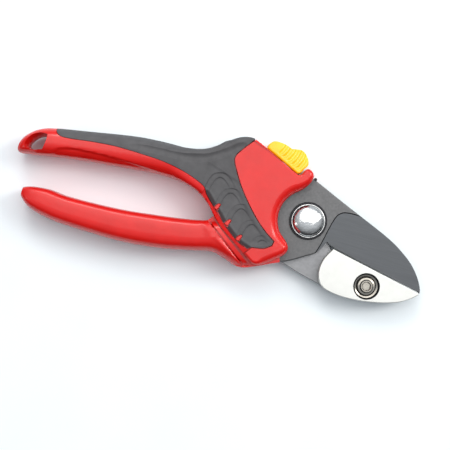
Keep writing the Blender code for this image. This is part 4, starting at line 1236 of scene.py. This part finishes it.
class SHEARS_OT_pivot(bpy.types.Operator):
    """Build the pivot's bolt and washer"""
    bl_idname = "shears.pivot"
    bl_label = "Pivot"

    def execute(self, context):
        build_pivot()
        return {"FINISHED"}


class SHEARS_OT_lock(bpy.types.Operator):
    """Build the lock's slider"""
    bl_idname = "shears.lock"
    bl_label = "Thumb lock"

    def execute(self, context):
        build_lock(context.scene.shears_sizes)
        return {"FINISHED"}


class SHEARS_OT_lower_handle(bpy.types.Operator):
    """Build the lower handle's moulding"""
    bl_idname = "shears.lower_handle"
    bl_label = "Lower handle"

    def execute(self, context):
        build_lower_handle(context.scene.shears_sizes)
        return {"FINISHED"}


class SHEARS_OT_blade(bpy.types.Operator):
    """Build the blade"""
    bl_idname = "shears.blade"
    bl_label = "Blade"

    def execute(self, context):
        build_blade(context.scene.shears_sizes)
        return {"FINISHED"}


class SHEARS_OT_hidden(bpy.types.Operator):
    """Finish the screws, pins, spring and nut"""
    bl_idname = "shears.hidden"
    bl_label = "Inner pieces"

    def execute(self, context):
        finish_hidden()
        return {"FINISHED"}


class SHEARS_PT_panel(bpy.types.Panel):
    """Sizes, colours and the steps of the shears"""
    bl_idname = "SHEARS_PT_panel"
    bl_label = "Pruning shears"
    bl_space_type = "VIEW_3D"
    bl_region_type = "UI"
    bl_category = "Shears"

    def draw(self, context):
        layout = self.layout
        for group in (context.scene.shears_sizes, context.scene.shears_colours):
            for name in group.__annotations__:
                layout.prop(group, name)
        for step in STEPS:
            layout.operator(step.bl_idname)


STEPS = [
    SHEARS_OT_finishes, SHEARS_OT_upper_handle, SHEARS_OT_front_cover, SHEARS_OT_soft_grip,
    SHEARS_OT_anvil_arm, SHEARS_OT_anvil, SHEARS_OT_anvil_screw, SHEARS_OT_pivot, SHEARS_OT_lock,
    SHEARS_OT_lower_handle, SHEARS_OT_blade, SHEARS_OT_hidden, SHEARS_OT_stage,
]
CLASSES = [ShearsSizes, ShearsColours, *STEPS, SHEARS_PT_panel]


def register():
    """Register the classes and hang the settings on the scene."""
    for cls in CLASSES:
        bpy.utils.register_class(cls)
    bpy.types.Scene.shears_sizes = bpy.props.PointerProperty(type=ShearsSizes)
    bpy.types.Scene.shears_colours = bpy.props.PointerProperty(type=ShearsColours)


def unregister():
    """Undo register."""
    del bpy.types.Scene.shears_colours
    del bpy.types.Scene.shears_sizes
    for cls in reversed(CLASSES):
        bpy.utils.unregister_class(cls)


def main():
    """Build everything in order."""
    register()
    for step in STEPS:
        group, name = step.bl_idname.split(".")
        getattr(getattr(bpy.ops, group), name)()


if __name__ == "__main__":
    main()
